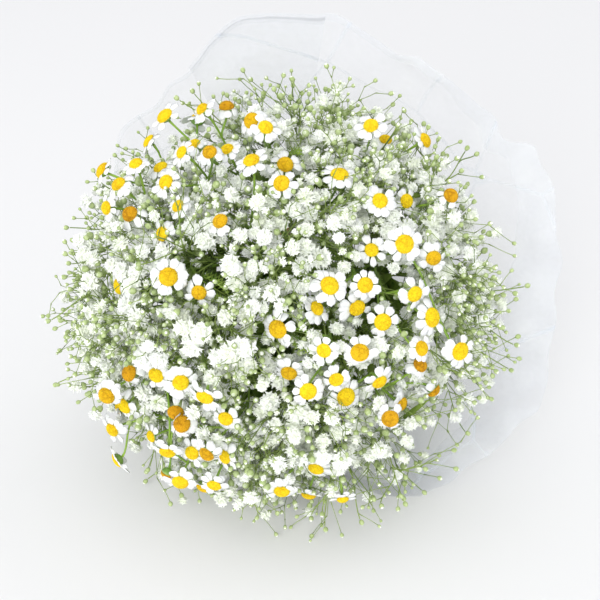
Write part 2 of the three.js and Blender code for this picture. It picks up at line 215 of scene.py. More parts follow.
def stalk_balls(spray, start, end, radius):
    count = math.ceil(span(end - start) / BALL_STEP)
    centres = [start + (end - start) * (i / count) for i in range(count + 1)]
    return balls_of(centres, radius, spray, 0)


def flower_balls(kind, spray, centre, facing):
    radius = SIZES[kind]["radius"]
    if kind != "daisy":
        return balls_of([centre], radius, spray, 1)
    small = radius / 4
    out = radius - small
    turns = [i / PETAL_BALLS * 2 * math.pi for i in range(PETAL_BALLS)]
    edges = [(math.cos(turn) * out, math.sin(turn) * out, -PETAL_DROOP / 2) for turn in turns]
    petals = np.array(edges) @ turned(facing, 0).T + centre
    return np.vstack([balls_of([centre], radius / 2, spray, 1), balls_of(petals, small, spray, 1)])


def clears(balls):
    """True if the balls keep clear of the wrap and of all but the stalks of their own spray."""
    if not all(clears_wrap(ball[:3], ball[3]) for ball in balls):
        return False
    reach = balls[:, 3].max() + taken[:, 3].max() + GAP
    low = balls[:, :3].min(0) - reach
    high = balls[:, :3].max(0) + reach
    others = taken[((taken[:, :3] > low) & (taken[:, :3] < high)).all(1)]
    gaps = np.linalg.norm(others[:, None, :3] - balls[None, :, :3], axis=2)
    least = others[:, None, 3] + balls[None, :, 3] + GAP
    kin = (others[:, None, 4] == balls[None, :, 4]) & (others[:, None, 5] + balls[None, :, 5] == 0)
    return bool((kin | (gaps > least)).all())


def in_cluster(tip):
    from_middle = tip - np.array([0, 0, HEAD_CENTRE])
    up = from_middle @ SEEN_UP
    offs = [((from_middle[0] - x) / across) ** 2 + ((up - y) / high) ** 2
            for x, y, across, high, _ in DAISY_CLUSTERS]
    return from_middle @ SEEN_FROM > 0 and min(offs) < 1


def plan_spray(index):
    share = (index + 0.5) / SPRAY_COUNT
    turn = index * GOLDEN_TURN
    out = STEM_PITCH * math.sqrt(index + 0.5)
    place = np.array([out * math.cos(turn), out * math.sin(turn), NECK_HALF])
    end = place * np.array([TAIL_SPREAD, TAIL_SPREAD, -STEM_TAIL / NECK_HALF])
    tip = on_dome(1 - share * (1 - math.cos(HEAD_EDGE)), turn, 0)
    kind = "daisy" if in_cluster(tip) else "gypsophila"
    hub = place + (tip - place) * HUB_SHARE
    return {"index": index, "kind": kind, "place": place, "end": end, "tip": tip, "hub": hub,
            "flowers": []}


def nearest(items, point, key):
    return min(items, key=lambda item: span(item[key] - point))


def lifted(point, facing, size):
    """Lifts a flower that would reach into the surface, or into the film where that lies on it."""
    level = abs(facing @ UP)
    reach = size["radius"] * math.sqrt(1 - level * level) + size["height"] * level
    low = TIE_HEIGHT + point @ UP - reach
    on_film = point[2] < rim_at(math.atan2(point[1], point[0]))[1] + size["radius"]
    floor = 2 * WRAP_THICKNESS + GAP if on_film else 0
    return point + UP * max(floor - low, 0)


def place_flower(kind, spot):
    """Puts a flower on the nearest spray that bears its kind, if it and its stalk find room."""
    global taken
    size = SIZES[kind]
    bearer = "daisy" if kind == "daisy" else "gypsophila"
    spray = nearest([each for each in sprays if each["kind"] == bearer], spot, "tip")
    share = draw(*FORKS)
    parent = None
    root = spray["hub"] + unit(spray["place"] - spray["hub"]) * HUB_INSET
    if spray["flowers"]:
        parent = nearest(spray["flowers"], spot, "centre")
        root = parent["root"] + (parent["under"] - parent["root"]) * share
    off = np.array([draw(-size["lean"], size["lean"]) for _ in range(3)])
    facing = unit(dome_normal(spot) + unit(spot - root) * STALK_PULL + off)
    spin = draw(0, 2 * math.pi)
    centre = lifted(spot, facing, size)
    if unit(centre - root) @ facing < STALK_LEAN:
        return False
    under = centre - facing * size["depth"]
    stalk = stalk_balls(spray["index"], root, under, STALK_TOP)
    balls = np.vstack([flower_balls(kind, spray["index"], centre, facing), stalk])
    if not clears(balls):
        return False
    taken = np.vstack([taken, balls])
    spray["flowers"].append({"kind": kind, "centre": centre, "under": under, "facing": facing,
                             "root": root, "spin": spin, "parent": parent, "share": share})
    return True


def throw_daisy(x, y, across, high):
    out = math.sqrt(draw(0, 1))
    turn = draw(0, 2 * math.pi)
    x += across * out * math.cos(turn)
    y += high * out * math.sin(turn)
    spot = seen_at(x, y, draw(*DAISY_DEPTHS))
    return spot is not None and place_flower("daisy", spot)


def throw_small(kind):
    cosine = draw(math.cos(SCATTER[kind]["edge"]), 1)
    turn = draw(-math.pi, math.pi)
    return place_flower(kind, on_dome(cosine, turn, draw(*SCATTER[kind]["depths"])))


def throw_until(count, thrown):
    placed = 0
    for _ in range(count * THROWS):
        placed += thrown()
        if placed == count:
            return


sprays = [plan_spray(index) for index in range(SPRAY_COUNT)]
taken = np.vstack([stalk_balls(spray["index"], spray["place"], spray["hub"], STEM_RADIUS)
                   for spray in sprays])
for *cluster, count in DAISY_CLUSTERS:
    throw_until(count, lambda: throw_daisy(*cluster))
for kind in ("floret", "bud"):
    throw_until(SCATTER[kind]["count"], lambda: throw_small(kind))
for kind in ("daisy", "gypsophila"):
    for number, spray in enumerate((each for each in sprays if each["kind"] == kind), 1):
        spray["node"] = f"{kind}_spray_{number:02d}"

# The bunch is laid with its tie where the twine is
TIE = np.mean([np.array(corner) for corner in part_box("twine_tie")], axis=0)
LAID = np.array([[1, 0, 0], [0, math.sin(TILT), -math.cos(TILT)],
                 [0, math.cos(TILT), math.sin(TILT)]])


def laid(points):
    """Points of the bunch's own frame, in millimetres, as they lie in the scene, in metres."""
    return TIE + MM * (np.asarray(points) @ LAID.T)


# ---- Daisy stems and stalks ----
# Round green stems, cut off square together, each with its heads on long stalks. A stalk forks
# off another in a small swelling and bows over to meet its flower from behind, as it grew.
DAISY_STEM_RADII = (1.25, 0.95)  # at the cut end, and where it branches
DAISY_STALK_RADII = (0.85, 0.6, 0.8)  # at the fork, along it, under the head
STALK_STEPS = 7
TAIL_SHARES = (0, 0.3, 0.65, 0.93)  # a stem's line has points here between its cut end and the tie
RISE_SHARES = (0, 0.12, 0.5, 1)  # and here between the tie and its branches
STEM_WANDER = 0.8
NOD = 0.38  # how far a head nods out of its even place on the dome
NOD_ROOM = 16  # above the floor
LEAVING = 0.4  # how much of a stalk's start still runs on with what carries it
ARRIVING = 0.5  # how much of its end already runs the way its flower faces
WELD = 1e-7
STEM_BLOTCH = 11.1  # width of the soft blotches in its skin
PITH_DEPTH = 0.6
wander = np.random.default_rng(11)


def bowed(start, leaving, end, arriving, steps):
    """Points of a stalk that leaves and arrives in the given directions."""
    s = np.linspace(0, 1, steps + 1)[:, None]
    way = end - start
    first = way * (1 - LEAVING) + leaving * span(way) * LEAVING
    last = way * (1 - ARRIVING) + arriving * span(way) * ARRIVING
    ends = (2 * s ** 3 - 3 * s ** 2 + 1) * start + (3 * s ** 2 - 2 * s ** 3) * end
    return ends + (s ** 3 - 2 * s ** 2 + s) * first + (s ** 3 - s ** 2) * last


def on_line(line, share):
    """A point of a line and the way the line runs there."""
    step = min(int(share * (len(line) - 1)), len(line) - 2)
    part = share * (len(line) - 1) - step
    way = line[step + 1] - line[step]
    return line[step] + way * part, unit(way)


def stem_run(spray, radii):
    """A stem from its cut end nearly straight to the tie, and on to where the spray branches."""
    tail = spray["end"] + (spray["place"] - spray["end"]) * np.array(TAIL_SHARES)[:, None]
    tail[1:3] += wander.uniform(-STEM_WANDER, STEM_WANDER, (2, 3))
    rise = spray["place"] + (spray["hub"] - spray["place"]) * np.array(RISE_SHARES)[:, None]
    line = np.vstack([tail, rise])
    return line, np.linspace(*radii, len(line))


def stalk_run(line, radii):
    """A stalk's line with its radius at each point: at its start, along it and at its end."""
    return line, [radii[0]] + [radii[1]] * (len(line) - 2) + [radii[2]]


def grow_stalks(spray):
    for flower in spray["flowers"]:
        start, leaving = flower["root"], unit(spray["hub"] - spray["place"])
        if flower["parent"]:
            start, leaving = on_line(flower["parent"]["line"], flower["share"])
        flower["line"] = bowed(start, leaving, flower["under"], flower["facing"], STALK_STEPS)


def select_only(piece):
    bpy.ops.object.select_all(action="DESELECT")
    piece.select_set(True)
    bpy.context.view_layer.objects.active = piece


def edited(*steps):
    """Runs mesh operators on all of the active piece, each given with its settings."""
    bpy.ops.object.mode_set(mode="EDIT")
    for operator, settings in steps:
        bpy.ops.mesh.select_all(action="SELECT")
        operator(**settings)
    bpy.ops.object.mode_set(mode="OBJECT")


def tubes(name, runs):
    """One mesh of round stalks, each run given as its points and its radius at each, in mm."""
    curve = bpy.data.curves.new(name, "CURVE")
    curve.dimensions = "3D"
    curve.bevel_depth = MM
    curve.bevel_resolution = 1
    curve.use_fill_caps = True
    for points, radii in runs:
        spline = curve.splines.new("POLY")
        spline.points.add(len(points) - 1)
        weighted = np.hstack([laid(points), np.ones((len(points), 1))])
        spline.points.foreach_set("co", weighted.ravel())
        spline.points.foreach_set("radius", np.array(radii, float))
        spline.use_smooth = True
    piece = bpy.data.objects.new(name, curve)
    bpy.context.collection.objects.link(piece)
    select_only(piece)
    bpy.ops.object.convert(target="MESH")
    edited((bpy.ops.mesh.remove_doubles, {"threshold": WELD}))
    bpy.data.curves.remove(curve)
    return bpy.context.object


def set_up(piece, material, node):
    """Gives a finished piece its material, attaches it and hides the part that it stands for."""
    piece.data.materials.clear()
    piece.data.materials.append(material)
    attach(piece, "root")
    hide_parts(node)


def linear(hex_colour):
    """An sRGB hex colour as the linear colour that a shader takes."""
    parts = [int(hex_colour[i:i + 2], 16) / 255 for i in (1, 3, 5)]
    return [p / 12.92 if p <= 0.04045 else ((p + 0.055) / 1.055) ** 2.4 for p in parts] + [1]


def finish_of(name, **sockets):
    """A new material, with the sockets of its shader that are the same all over."""
    material = bpy.data.materials.new(name)
    material.use_nodes = True
    shader = material.node_tree.nodes["Principled BSDF"]
    for socket, value in sockets.items():
        shader.inputs[socket.replace("_", " ")].default_value = value
    return material


def lead(node, links):
    for socket, output in links.items():
        node.id_data.links.new(output, node.inputs[socket])


def surfaced(material, links):
    """Leads a material's finished colour, relief or clearness into its shader."""
    lead(material.node_tree.nodes["Principled BSDF"], links)
    return material


def add_node(material, kind, settings=None, links=None, output=0):
    """Adds a node with its settings, by property or socket, and the outputs that are linked into
    it. Gives back one of its own outputs."""
    node = material.node_tree.nodes.new("ShaderNode" + kind)
    for name, value in (settings or {}).items():
        if name == "stops":
            for stop, (place, colour) in zip(node.color_ramp.elements, value):
                stop.position = place
                stop.color = linear(colour)
        elif isinstance(name, str) and hasattr(node, name):
            setattr(node, name, value)
        else:
            node.inputs[name].default_value = value
    lead(node, links or {})
    return node.outputs[output]


def mottled(material, stops, width, **noise):
    """A colour that wanders between two tones in spots so many mm wide, and the spots' noise."""
    place = add_node(material, "TexCoord", output="Object")
    spots = add_node(material, "TexNoise", {"Scale": 1 / (width * MM), **noise}, {"Vector": place})
    return add_node(material, "ValToRGB", {"stops": stops}, {"Fac": spots}), spots


def stem_finish(name, pale, deep):
    """Fresh stem skin: a waxy satin green in soft blotches, and moist pale pith where it is cut."""
    material = finish_of(name, Roughness=0.45, Specular_IOR_Level=0.4)
    skin, _ = mottled(material, [(0.3, deep), (0.7, pale)], STEM_BLOTCH, Detail=3)
    place = add_node(material, "TexCoord", output="Object")
    foot = laid([0, 0, PITH_DEPTH - STEM_TAIL])
    out = laid([0, 0, 1]) - laid([0, 0, 0])
    from_foot = add_node(material, "VectorMath", {"operation": "SUBTRACT", 1: foot}, {0: place})
    height = add_node(material, "VectorMath", {"operation": "DOT_PRODUCT", 1: out / MM},
                      {0: from_foot}, "Value")
    cut = add_node(material, "Math", {"operation": "LESS_THAN", 1: 0}, {0: height})
    whole = add_node(material, "MixRGB", {"Color2": linear("#D9E3B4")},
                     {"Fac": cut, "Color1": skin})
    return surfaced(material, {"Base Color": whole})


chamomile_stem = stem_finish("fresh chamomile stem", "#9ABC48", "#6C9030")
daisy_sprays = [spray for spray in sprays if spray["kind"] == "daisy"]
daisies = [flower for spray in daisy_sprays for flower in spray["flowers"]]
for flower in daisies:
    if TIE_HEIGHT + flower["centre"] @ UP > NOD_ROOM:
        flower["facing"] = unit(flower["facing"] + wander.uniform(-NOD, NOD, 3))
        flower["under"] = flower["centre"] - flower["facing"] * SIZES["daisy"]["depth"]
for spray in daisy_sprays:
    grow_stalks(spray)
    runs = [stem_run(spray, DAISY_STEM_RADII)]
    runs += [stalk_run(flower["line"], DAISY_STALK_RADII) for flower in spray["flowers"]]
    stems = tubes(spray["node"] + "_stems", runs)
    set_up(stems, chamomile_stem, spray["node"])

# ---- Daisy petals ----
# Nine to twelve white ray petals a head, thin as paper, with two shallow grooves and a softly
# notched tip. They grow in two close rows from under the disc, level on young heads and bent
# back on old ones. Any head may have lost one, and old ones have lost several.
PETAL_THICK = 0.32
PETAL_ROOT = 3.5
PETAL_LENGTH = 6.1
PETAL_HALF = 2.2
PETAL_WIDTHS = ((0, 0.2, 0.4, 0.62, 0.82, 1), (0.34, 0.6, 0.86, 1, 0.98, 0.68))
PETAL_NOTCH = 0.035  # at the tip, as shares of the length
PETAL_ROUND = 0.13
PETAL_GROOVE = 0.13
CLAW_GROOVE = 0.4  # share of the grooves' depth that is left at the claw
PETAL_ARCH = 0.3
PETAL_VEINS = 9
PETAL_ROWS = (0.15, 0.5)  # height of the two rows at the disc
PETAL_CURLS = (0.2, 0.9, -0.5)  # how far the tips of the three petal shapes hang
PETAL_COUNTS = (9, 13)  # from the first to below the second
PETAL_STRAY = 0.4  # out of its even place, as a share of the gap between two
PETAL_WIDER = (0.8, 1.25)
PETAL_LONGER = (0.75, 1.1)
PETALS_LOST = 0.07
OLD_LOSE = 0.45
HEAD_SIZES = (0.76, 1.05)
AGE_LEAN = 1.5  # over 1, more heads are young than old
YOUNG = 0.55  # heads with an age under this hold their petals level
YOUNG_DROOP = (0.1, 0.15)  # at first, and how it grows with age
OLD_DROOP = (0.3, 1.6)
DROOP_STRAY = (-0.3, 0.5)
heads = np.random.default_rng(23)


def formed(piece, form):
    for vertex in piece.data.vertices:
        vertex.co = form(*vertex.co)


def thickened(piece, thickness):
    """Makes a thin sheet a closed one, with the same room on both sides."""
    select_only(piece)
    solidify = piece.modifiers.new("thickness", "SOLIDIFY")
    solidify.thickness = thickness
    solidify.offset = 0
    bpy.ops.object.modifier_apply(modifier=solidify.name)


def model_of(piece, height_axis=1):
    """A piece modelled in millimetres as arrays to copy, with each point's share of its width and
    height. The piece itself is then put away."""
    mesh = piece.data
    points = np.array([vertex.co for vertex in mesh.vertices])
    corners = np.array([loop.vertex_index for loop in mesh.loops])
    sizes = np.array([face.loop_total for face in mesh.polygons])
    low, high = points.min(0), points.max(0)
    form = ((points - low) / (high - low))[:, [0, height_axis]]
    bpy.data.objects.remove(piece)
    return {"points": points, "corners": corners, "sizes": sizes, "form": form}


def petal_model(curl):
    bpy.ops.mesh.primitive_grid_add(x_subdivisions=4, y_subdivisions=5, size=2)
    petal = bpy.context.object

    def form(x, y, z):
        along = (y + 1) / 2
        half = PETAL_HALF * np.interp(along, *PETAL_WIDTHS)
        tip = along ** 5 * (PETAL_NOTCH * math.cos(2 * math.pi * x) - PETAL_ROUND * x * x)
        groove = PETAL_GROOVE * math.cos(2 * math.pi * x) - PETAL_ARCH * x * x
        groove *= CLAW_GROOVE + (1 - CLAW_GROOVE) * along
        arch = PETAL_ARCH * math.sin(math.pi * along) - curl * along ** 2
        return x * half, PETAL_LENGTH * (along + tip), groove + arch

    formed(petal, form)
    thickened(petal, PETAL_THICK)
    return model_of(petal)


def swung(turn, droop):
    """The rotation that points a petal's length out at a turn round its head, and down."""
    c, s, d, e = math.cos(turn), math.sin(turn), math.cos(droop), math.sin(droop)
    return np.array([[s, c * d, c * e], [-c, s * d, s * e], [0, -e, d]])


def petals_of(flower):
    """A head's petals, each as its model, rotation, place and tone."""
    head = turned(flower["facing"], flower["spin"])
    count = int(heads.integers(*PETAL_COUNTS))
    past = max(flower["age"] - YOUNG, 0)
    droop = YOUNG_DROOP[0] + YOUNG_DROOP[1] * flower["age"]
    if flower["age"] >= YOUNG:
        droop = OLD_DROOP[0] + OLD_DROOP[1] * past
    petals = []
    for i in range(count):
        if heads.uniform() < PETALS_LOST + OLD_LOSE * past:
            continue
        turn = (i + heads.uniform(-PETAL_STRAY, PETAL_STRAY)) / count * 2 * math.pi
        lean = swung(turn, droop + heads.uniform(*DROOP_STRAY))
        size = np.array([heads.uniform(*PETAL_WIDER), heads.uniform(*PETAL_LONGER), 1])
        root = np.array([PETAL_ROOT * math.cos(turn), PETAL_ROOT * math.sin(turn),
                         PETAL_ROWS[i % 2]])
        model = petal_models[int(heads.integers(len(petal_models)))]
        petals.append((model, head @ (lean * (size * flower["size"])),
                       flower["centre"] + head @ (root * flower["size"]), heads.uniform()))
    return petals


def joined(items):
    """The points, corners and face sizes of many copies, each a model, a 3x3 matrix and a place."""
    points = np.vstack([model["points"] @ matrix.T + place for model, matrix, place, *_ in items])
    starts = np.cumsum([0] + [len(model["points"]) for model, *_ in items[:-1]])
    corners = np.concatenate([item[0]["corners"] + start for item, start in zip(items, starts)])
    return points, corners, np.concatenate([model["sizes"] for model, *_ in items])


def gathered(name, items, smooth):
    """One mesh of many copies, each given as its model, a 3x3 matrix, its place and its tone."""
    points, corners, sizes = joined(items)
    tones = np.concatenate([np.full(len(model["points"]), tone) for model, _, _, tone in items])
    forms = np.vstack([model["form"] for model, *_ in items])
    mesh = bpy.data.meshes.new(name)
    mesh.vertices.add(len(points))
    mesh.vertices.foreach_set("co", laid(points).ravel())
    mesh.loops.add(len(corners))
    mesh.loops.foreach_set("vertex_index", corners)
    mesh.polygons.add(len(sizes))
    mesh.polygons.foreach_set("loop_start", np.cumsum(sizes) - sizes)
    mesh.update(calc_edges=True)
    mesh.polygons.foreach_set("use_smooth", np.full(len(sizes), smooth))
    mesh.attributes.new("tone", "FLOAT", "POINT").data.foreach_set("value", tones)
    mesh.uv_layers.new(name="form").data.foreach_set("uv", forms[corners].ravel())
    piece = bpy.data.objects.new(name, mesh)
    bpy.context.collection.objects.link(piece)
    return piece


def bear(spray, part, material, items, smooth=True):
    """One piece of a spray: all its flowers' copies of a part."""
    piece = gathered(f"{spray['node']}_{part}", items, smooth)
    set_up(piece, material, spray["node"])


def form_of(material):
    """A copy's own shares of its width (X) and its height (Y)."""
    form = add_node(material, "UVMap", {"uv_map": "form"})
    return add_node(material, "SeparateXYZ", None, {"Vector": form}).node.outputs


def petal_finish():
    """White ray petals: soft and matt, greenish at the claw, with light showing through, and fine
    veins along them."""
    material = finish_of("white ray petal", Roughness=0.6, Specular_IOR_Level=0.25,
                         Subsurface_Weight=0.35, Subsurface_Scale=1.2 * MM,
                         Subsurface_Radius=(1, 1, 0.9))
    form = form_of(material)
    claw = add_node(material, "ValToRGB", {"stops": [(0.0, "#D3DCB4"), (0.3, "#EFF1F1")]},
                    {"Fac": form["Y"]})
    across = add_node(material, "Math", {"operation": "MULTIPLY", 1: PETAL_VEINS * 2 * math.pi},
                      {0: form["X"]})
    veins = add_node(material, "Math", {"operation": "SINE"}, {0: across})
    relief = add_node(material, "Bump", {"Strength": 0.12, "Distance": 0.1 * MM}, {"Height": veins})
    return surfaced(material, {"Base Color": claw, "Normal": relief})


petal_models = [petal_model(curl) for curl in PETAL_CURLS]
white_petal = petal_finish()
for spray in daisy_sprays:
    for flower in spray["flowers"]:
        flower["age"] = heads.uniform() ** AGE_LEAN
        flower["size"] = heads.uniform(*HEAD_SIZES)
    petals = [petal for flower in spray["flowers"] for petal in petals_of(flower)]
    bear(spray, "petals", white_petal, petals)

# ---- Daisy discs ----
# The yellow eye is a dome of a few hundred tiny tubular florets packed in a close net. It opens
# flat and bright and grows to a high orange cone as the head ages.
DISC_RADIUS = 4.1
DISC_WIDER = (0.95, 1.1)
DISC_GRAIN = 0.09
DISC_HEIGHTS = (2.3, 4.0)
DISC_SEAT = 0.25
POLLEN_SPOT = 0.714  # far coarser than real grains, so that they show
HALVING = {"plane_co": (0, 0, 0), "plane_no": (0, 0, 1), "use_fill": True}


def disc_model():
    bpy.ops.mesh.primitive_ico_sphere_add(subdivisions=3, radius=1)
    edited((bpy.ops.mesh.poke, {"offset": DISC_GRAIN}),
           (bpy.ops.mesh.bisect, {"clear_inner": True, **HALVING}))
    model = model_of(bpy.context.object, 2)
    model["form"][:, 0] = np.linalg.norm(model["points"], axis=1) > 1
    return model


def disc_finish():
    """Pollen-covered disc florets: bright grains over a darker ground, yellow turning orange."""
    material = finish_of("disc florets with pollen", Roughness=0.75, Specular_IOR_Level=0.15,
                         Subsurface_Weight=0.1, Subsurface_Scale=0.8 * MM)
    age = add_node(material, "Attribute", {"attribute_name": "tone"}, output="Fac")
    grain = add_node(material, "ValToRGB", {"stops": [(0.2, "#ECD022"), (0.95, "#D3A11F")]},
                     {"Fac": age})
    ground = add_node(material, "ValToRGB", {"stops": [(0.2, "#DDB81A"), (0.95, "#AA7716")]},
                      {"Fac": age})
    florets = add_node(material, "MixRGB", None,
                       {"Fac": form_of(material)["X"], "Color1": ground, "Color2": grain})
    shade, _ = mottled(material, [(0.35, "#E4DFD4"), (0.6, "#FFFFFF")], POLLEN_SPOT, Detail=2)
    dusted = add_node(material, "MixRGB", {"blend_type": "MULTIPLY", "Fac": 1.0},
                      {"Color1": florets, "Color2": shade})
    return surfaced(material, {"Base Color": dusted})


disc = disc_model()
disc_florets = disc_finish()
for spray in daisy_sprays:
    discs = []
    for flower in spray["flowers"]:
        head = turned(flower["facing"], flower["spin"])
        wide = DISC_RADIUS * heads.uniform(*DISC_WIDER) * flower["size"]
        high = np.interp(flower["age"], (0, 1), DISC_HEIGHTS) * flower["size"]
        seat = flower["centre"] + flower["facing"] * DISC_SEAT
        discs.append((disc, head * np.array([wide, wide, high]), seat, flower["age"]))
    bear(spray, "discs", disc_florets, discs, False)

# ---- Daisy calyxes ----
# Under each head sits a shallow green cup of overlapping bracts, which holds the petals' roots
# and narrows into the stalk.
CALYX_RADIUS = 4.0
CALYX_DEPTH = 2.9
CALYX_SIDES = 14
CALYX_SCALLOP = 0.1
CALYX_NECK = 0.92  # of its width, from half its depth down
LEAF_BLOTCH = 3.85


def calyx_model():
    bpy.ops.mesh.primitive_uv_sphere_add(segments=CALYX_SIDES, ring_count=6, radius=1)
    cup = bpy.context.object
    edited((bpy.ops.mesh.bisect, {"clear_outer": True, **HALVING}))

    def form(x, y, z):
        bract = 1 + CALYX_SCALLOP * math.cos(CALYX_SIDES / 2 * math.atan2(y, x))
        wide = CALYX_RADIUS * bract * (1 if z > -0.5 else CALYX_NECK)
        return x * wide, y * wide, z * CALYX_DEPTH + PETAL_ROWS[0]

    formed(cup, form)
    return model_of(cup, 2)


def green_finish(name, pale, deep, edge):
    """Green leaf skin: soft blotches, paler towards the tip, dull with a faint bloom."""
    material = finish_of(name, Roughness=0.6, Specular_IOR_Level=0.3)
    skin, _ = mottled(material, [(0.3, deep), (0.7, pale)], LEAF_BLOTCH, Detail=3)
    tip = add_node(material, "MapRange", {1: 0.6, 2: 1.0, 3: 0.0, 4: 0.6},
                   {0: form_of(material)["Y"]})
    leaf = add_node(material, "MixRGB", {"Color2": linear(edge)}, {"Fac": tip, "Color1": skin})
    return surfaced(material, {"Base Color": leaf})


calyx = calyx_model()
green_bracts = green_finish("green bracts", "#8DB255", "#5C8738", "#B9CE86")
for spray in daisy_sprays:
    cups = [(calyx, turned(flower["facing"], flower["spin"]) * flower["size"], flower["centre"], 0)
            for flower in spray["flowers"]]
    bear(spray, "calyxes", green_bracts, cups)

# ---- Gypsophila stems, stalks and forks ----
# Wiry grey-green stems that fork in twos over and over, each fork with a small swollen node. The
# last forks are thin as thread, so that the flowers stand in an airy cloud.
GYPSOPHILA_STEM_RADII = (1.2, 0.7)
GYPSOPHILA_STALK_RADII = (0.6, 0.32, 0.28)  # at the node, along it, at its end
TWIG_RADII = (0.32, 0.17, 0.2)
TWIG_STEPS = 3
BRANCH_SPREAD = (0.5, 1)
FORK_SPREAD = (0.5, 0.95)
FORK_SHORTER = 0.62
FORK_UNEVEN = (0.8, 1.2)
TWIG_RISE = 0.35  # how much a twig turns to the dome's outside
POMPOM_RADII = (4.9, 6.1)
CLUMP_SHARE = 0.86  # a floret's stalk splits here into those of its two or three pompoms
CLUMP_STEP = 0.07  # each a little before the last
CLUMP_PAIRS = 0.3  # share of the clumps that are pairs, and more at the cloud's edge
CLUMP_OUT = {2: 3.9, 3: 4.9}
CLUMP_STRAY = 0.06
CLUMP_SINK = (-1, 2)
CLUMP_LEAN = 0.45
POMPOM_SEAT = 0.7  # a pompom's twig ends this share of its radius under its middle
EDGE_SMALLER = 0.35
EDGE_FEWER = 0.5
EDGE_OUTER = 10  # the cloud's edge counts as standing so much prouder
OUTER_FROM = 2
SMALL_RADII = {"pompom": (3.1, 4.9), "opening": (1.9, 3.0), "bud": (1.3, 2.15),
               "outer": (0.85, 1.5)}
OPENING_SHARE = 0.3
FLOOR_ROOM = 0.4
CROWDING = 0.55  # share of its radius that a small flower may reach into another
AIRY = (92, 112)  # from here to here off the middle of the view, the cloud thins to bare twigs
CLOUD_EDGE = 125
BARE_SIDE = math.radians(-45)  # at the lower right it thins out sooner
BARE_ROOM = 18
BARE_FOCUS = 4
PROUD = {"pompom": 5, "opening": 4, "bud": 19, "leaf": -18}  # how far out of the dome each may be
SIDE_BRANCHES = {  # of a stalk: shares of its length, lengths, forks, and the share of florets
    "floret": [
        ((0.85, 0.96), (8, 13), 2, 0.15), ((0.7, 0.9), (8, 14), 1, 0.3),
        ((0.55, 0.8), (10, 17), 2, 0.3), ((0.4, 0.65), (12, 20), 2, 0.35),
        ((0.25, 0.5), (14, 24), 3, 0.35), ((0.1, 0.4), (16, 27), 3, 0.4),
        ((0.3, 0.6), (9, 15), 2, 0.4), ((0.15, 0.45), (11, 19), 3, 0.4),
    ],
    "bud": [
        ((0.75, 0.92), (6, 11), 1, 0), ((0.6, 0.8), (8, 14), 2, 0.1),
        ((0.45, 0.65), (11, 18), 2, 0.2), ((0.25, 0.5), (14, 24), 3, 0.3),
        ((0.1, 0.4), (16, 27), 3, 0.4), ((0.2, 0.5), (11, 19), 3, 0.4),
    ],
    "edge": [
        ((0.8, 0.95), (8, 13), 0, 0.1), ((0.4, 0.8), (16, 26), 1, 0.4),
        ((0.15, 0.45), (14, 22), 1, 0.6), ((0.5, 0.9), (22, 32), 1, 0.2),
    ],
}
EDGE = 0.4  # a flower grows as one at the edge where the cloud is this thin
EYE_ROOM = (0, 40, 4.4)  # nothing small hangs from here to here before a daisy's eye, so near
growth = np.random.default_rng(5)
eye_places = np.array([flower["centre"] for flower in daisies])
eye_ways = (np.array([flower["facing"] for flower in daisies]),
            np.tile(SEEN_FROM, (len(daisies), 1)))
crowd = taken[(taken[:, 3] != SIZES["floret"]["radius"]) & (taken[:, 5] == 1)][:, :4]


def proud(point):
    """About how far a point stands out of the dome of flowers."""
    across = math.hypot(point[0], point[1]) / HEAD_RADIUS
    return (math.hypot(across, (point[2] - HEAD_CENTRE) / HEAD_REACH) - 1) * HEAD_RADIUS


def seen(point):
    """Where a point is seen from the front, from the middle of the flowers."""
    return point[0], (point - [0, 0, HEAD_CENTRE]) @ SEEN_UP


def airy(point):
    """How thin the cloud is at a point, from 0 in the middle to 1 at its edge."""
    x, y = seen(point)
    off = math.hypot(x, y)
    to_side = max((x * math.cos(BARE_SIDE) + y * math.sin(BARE_SIDE)) / off, 0)
    return float(np.interp(off + BARE_ROOM * to_side ** BARE_FOCUS, AIRY, (0, 1)))


def free(kind, point, radius):
    """True if a small flower at a point clears the floor, the film and the sight of the daisies'
    eyes, and doesn't crowd others."""
    if TIE_HEIGHT + point @ UP - radius < FLOOR_ROOM or not clears_wrap(point, radius):
        return False
    if proud(point) > PROUD[kind] or math.hypot(*seen(point)) > CLOUD_EDGE:
        return False
    off = point - eye_places
    for ways in eye_ways:
        ahead = np.einsum("ij,ij->i", off, ways)
        beside = np.linalg.norm(off - ahead[:, None] * ways, axis=1) - radius
        if ((ahead > EYE_ROOM[0]) & (ahead < EYE_ROOM[1]) & (beside < EYE_ROOM[2])).any():
            return False
    gaps = np.linalg.norm(crowd[:, :3] - point, axis=1) - crowd[:, 3] - radius
    return gaps.min() > -CROWDING * radius


def hold(point, radius):
    global crowd
    crowd = np.vstack([crowd, [*point, radius]])


def sideways(way):
    return unit(np.cross(way, growth.normal(size=3)))


def twig(start, leaving, end, arriving):
    return stalk_run(bowed(start, leaving, end, arriving, TWIG_STEPS), TWIG_RADII)


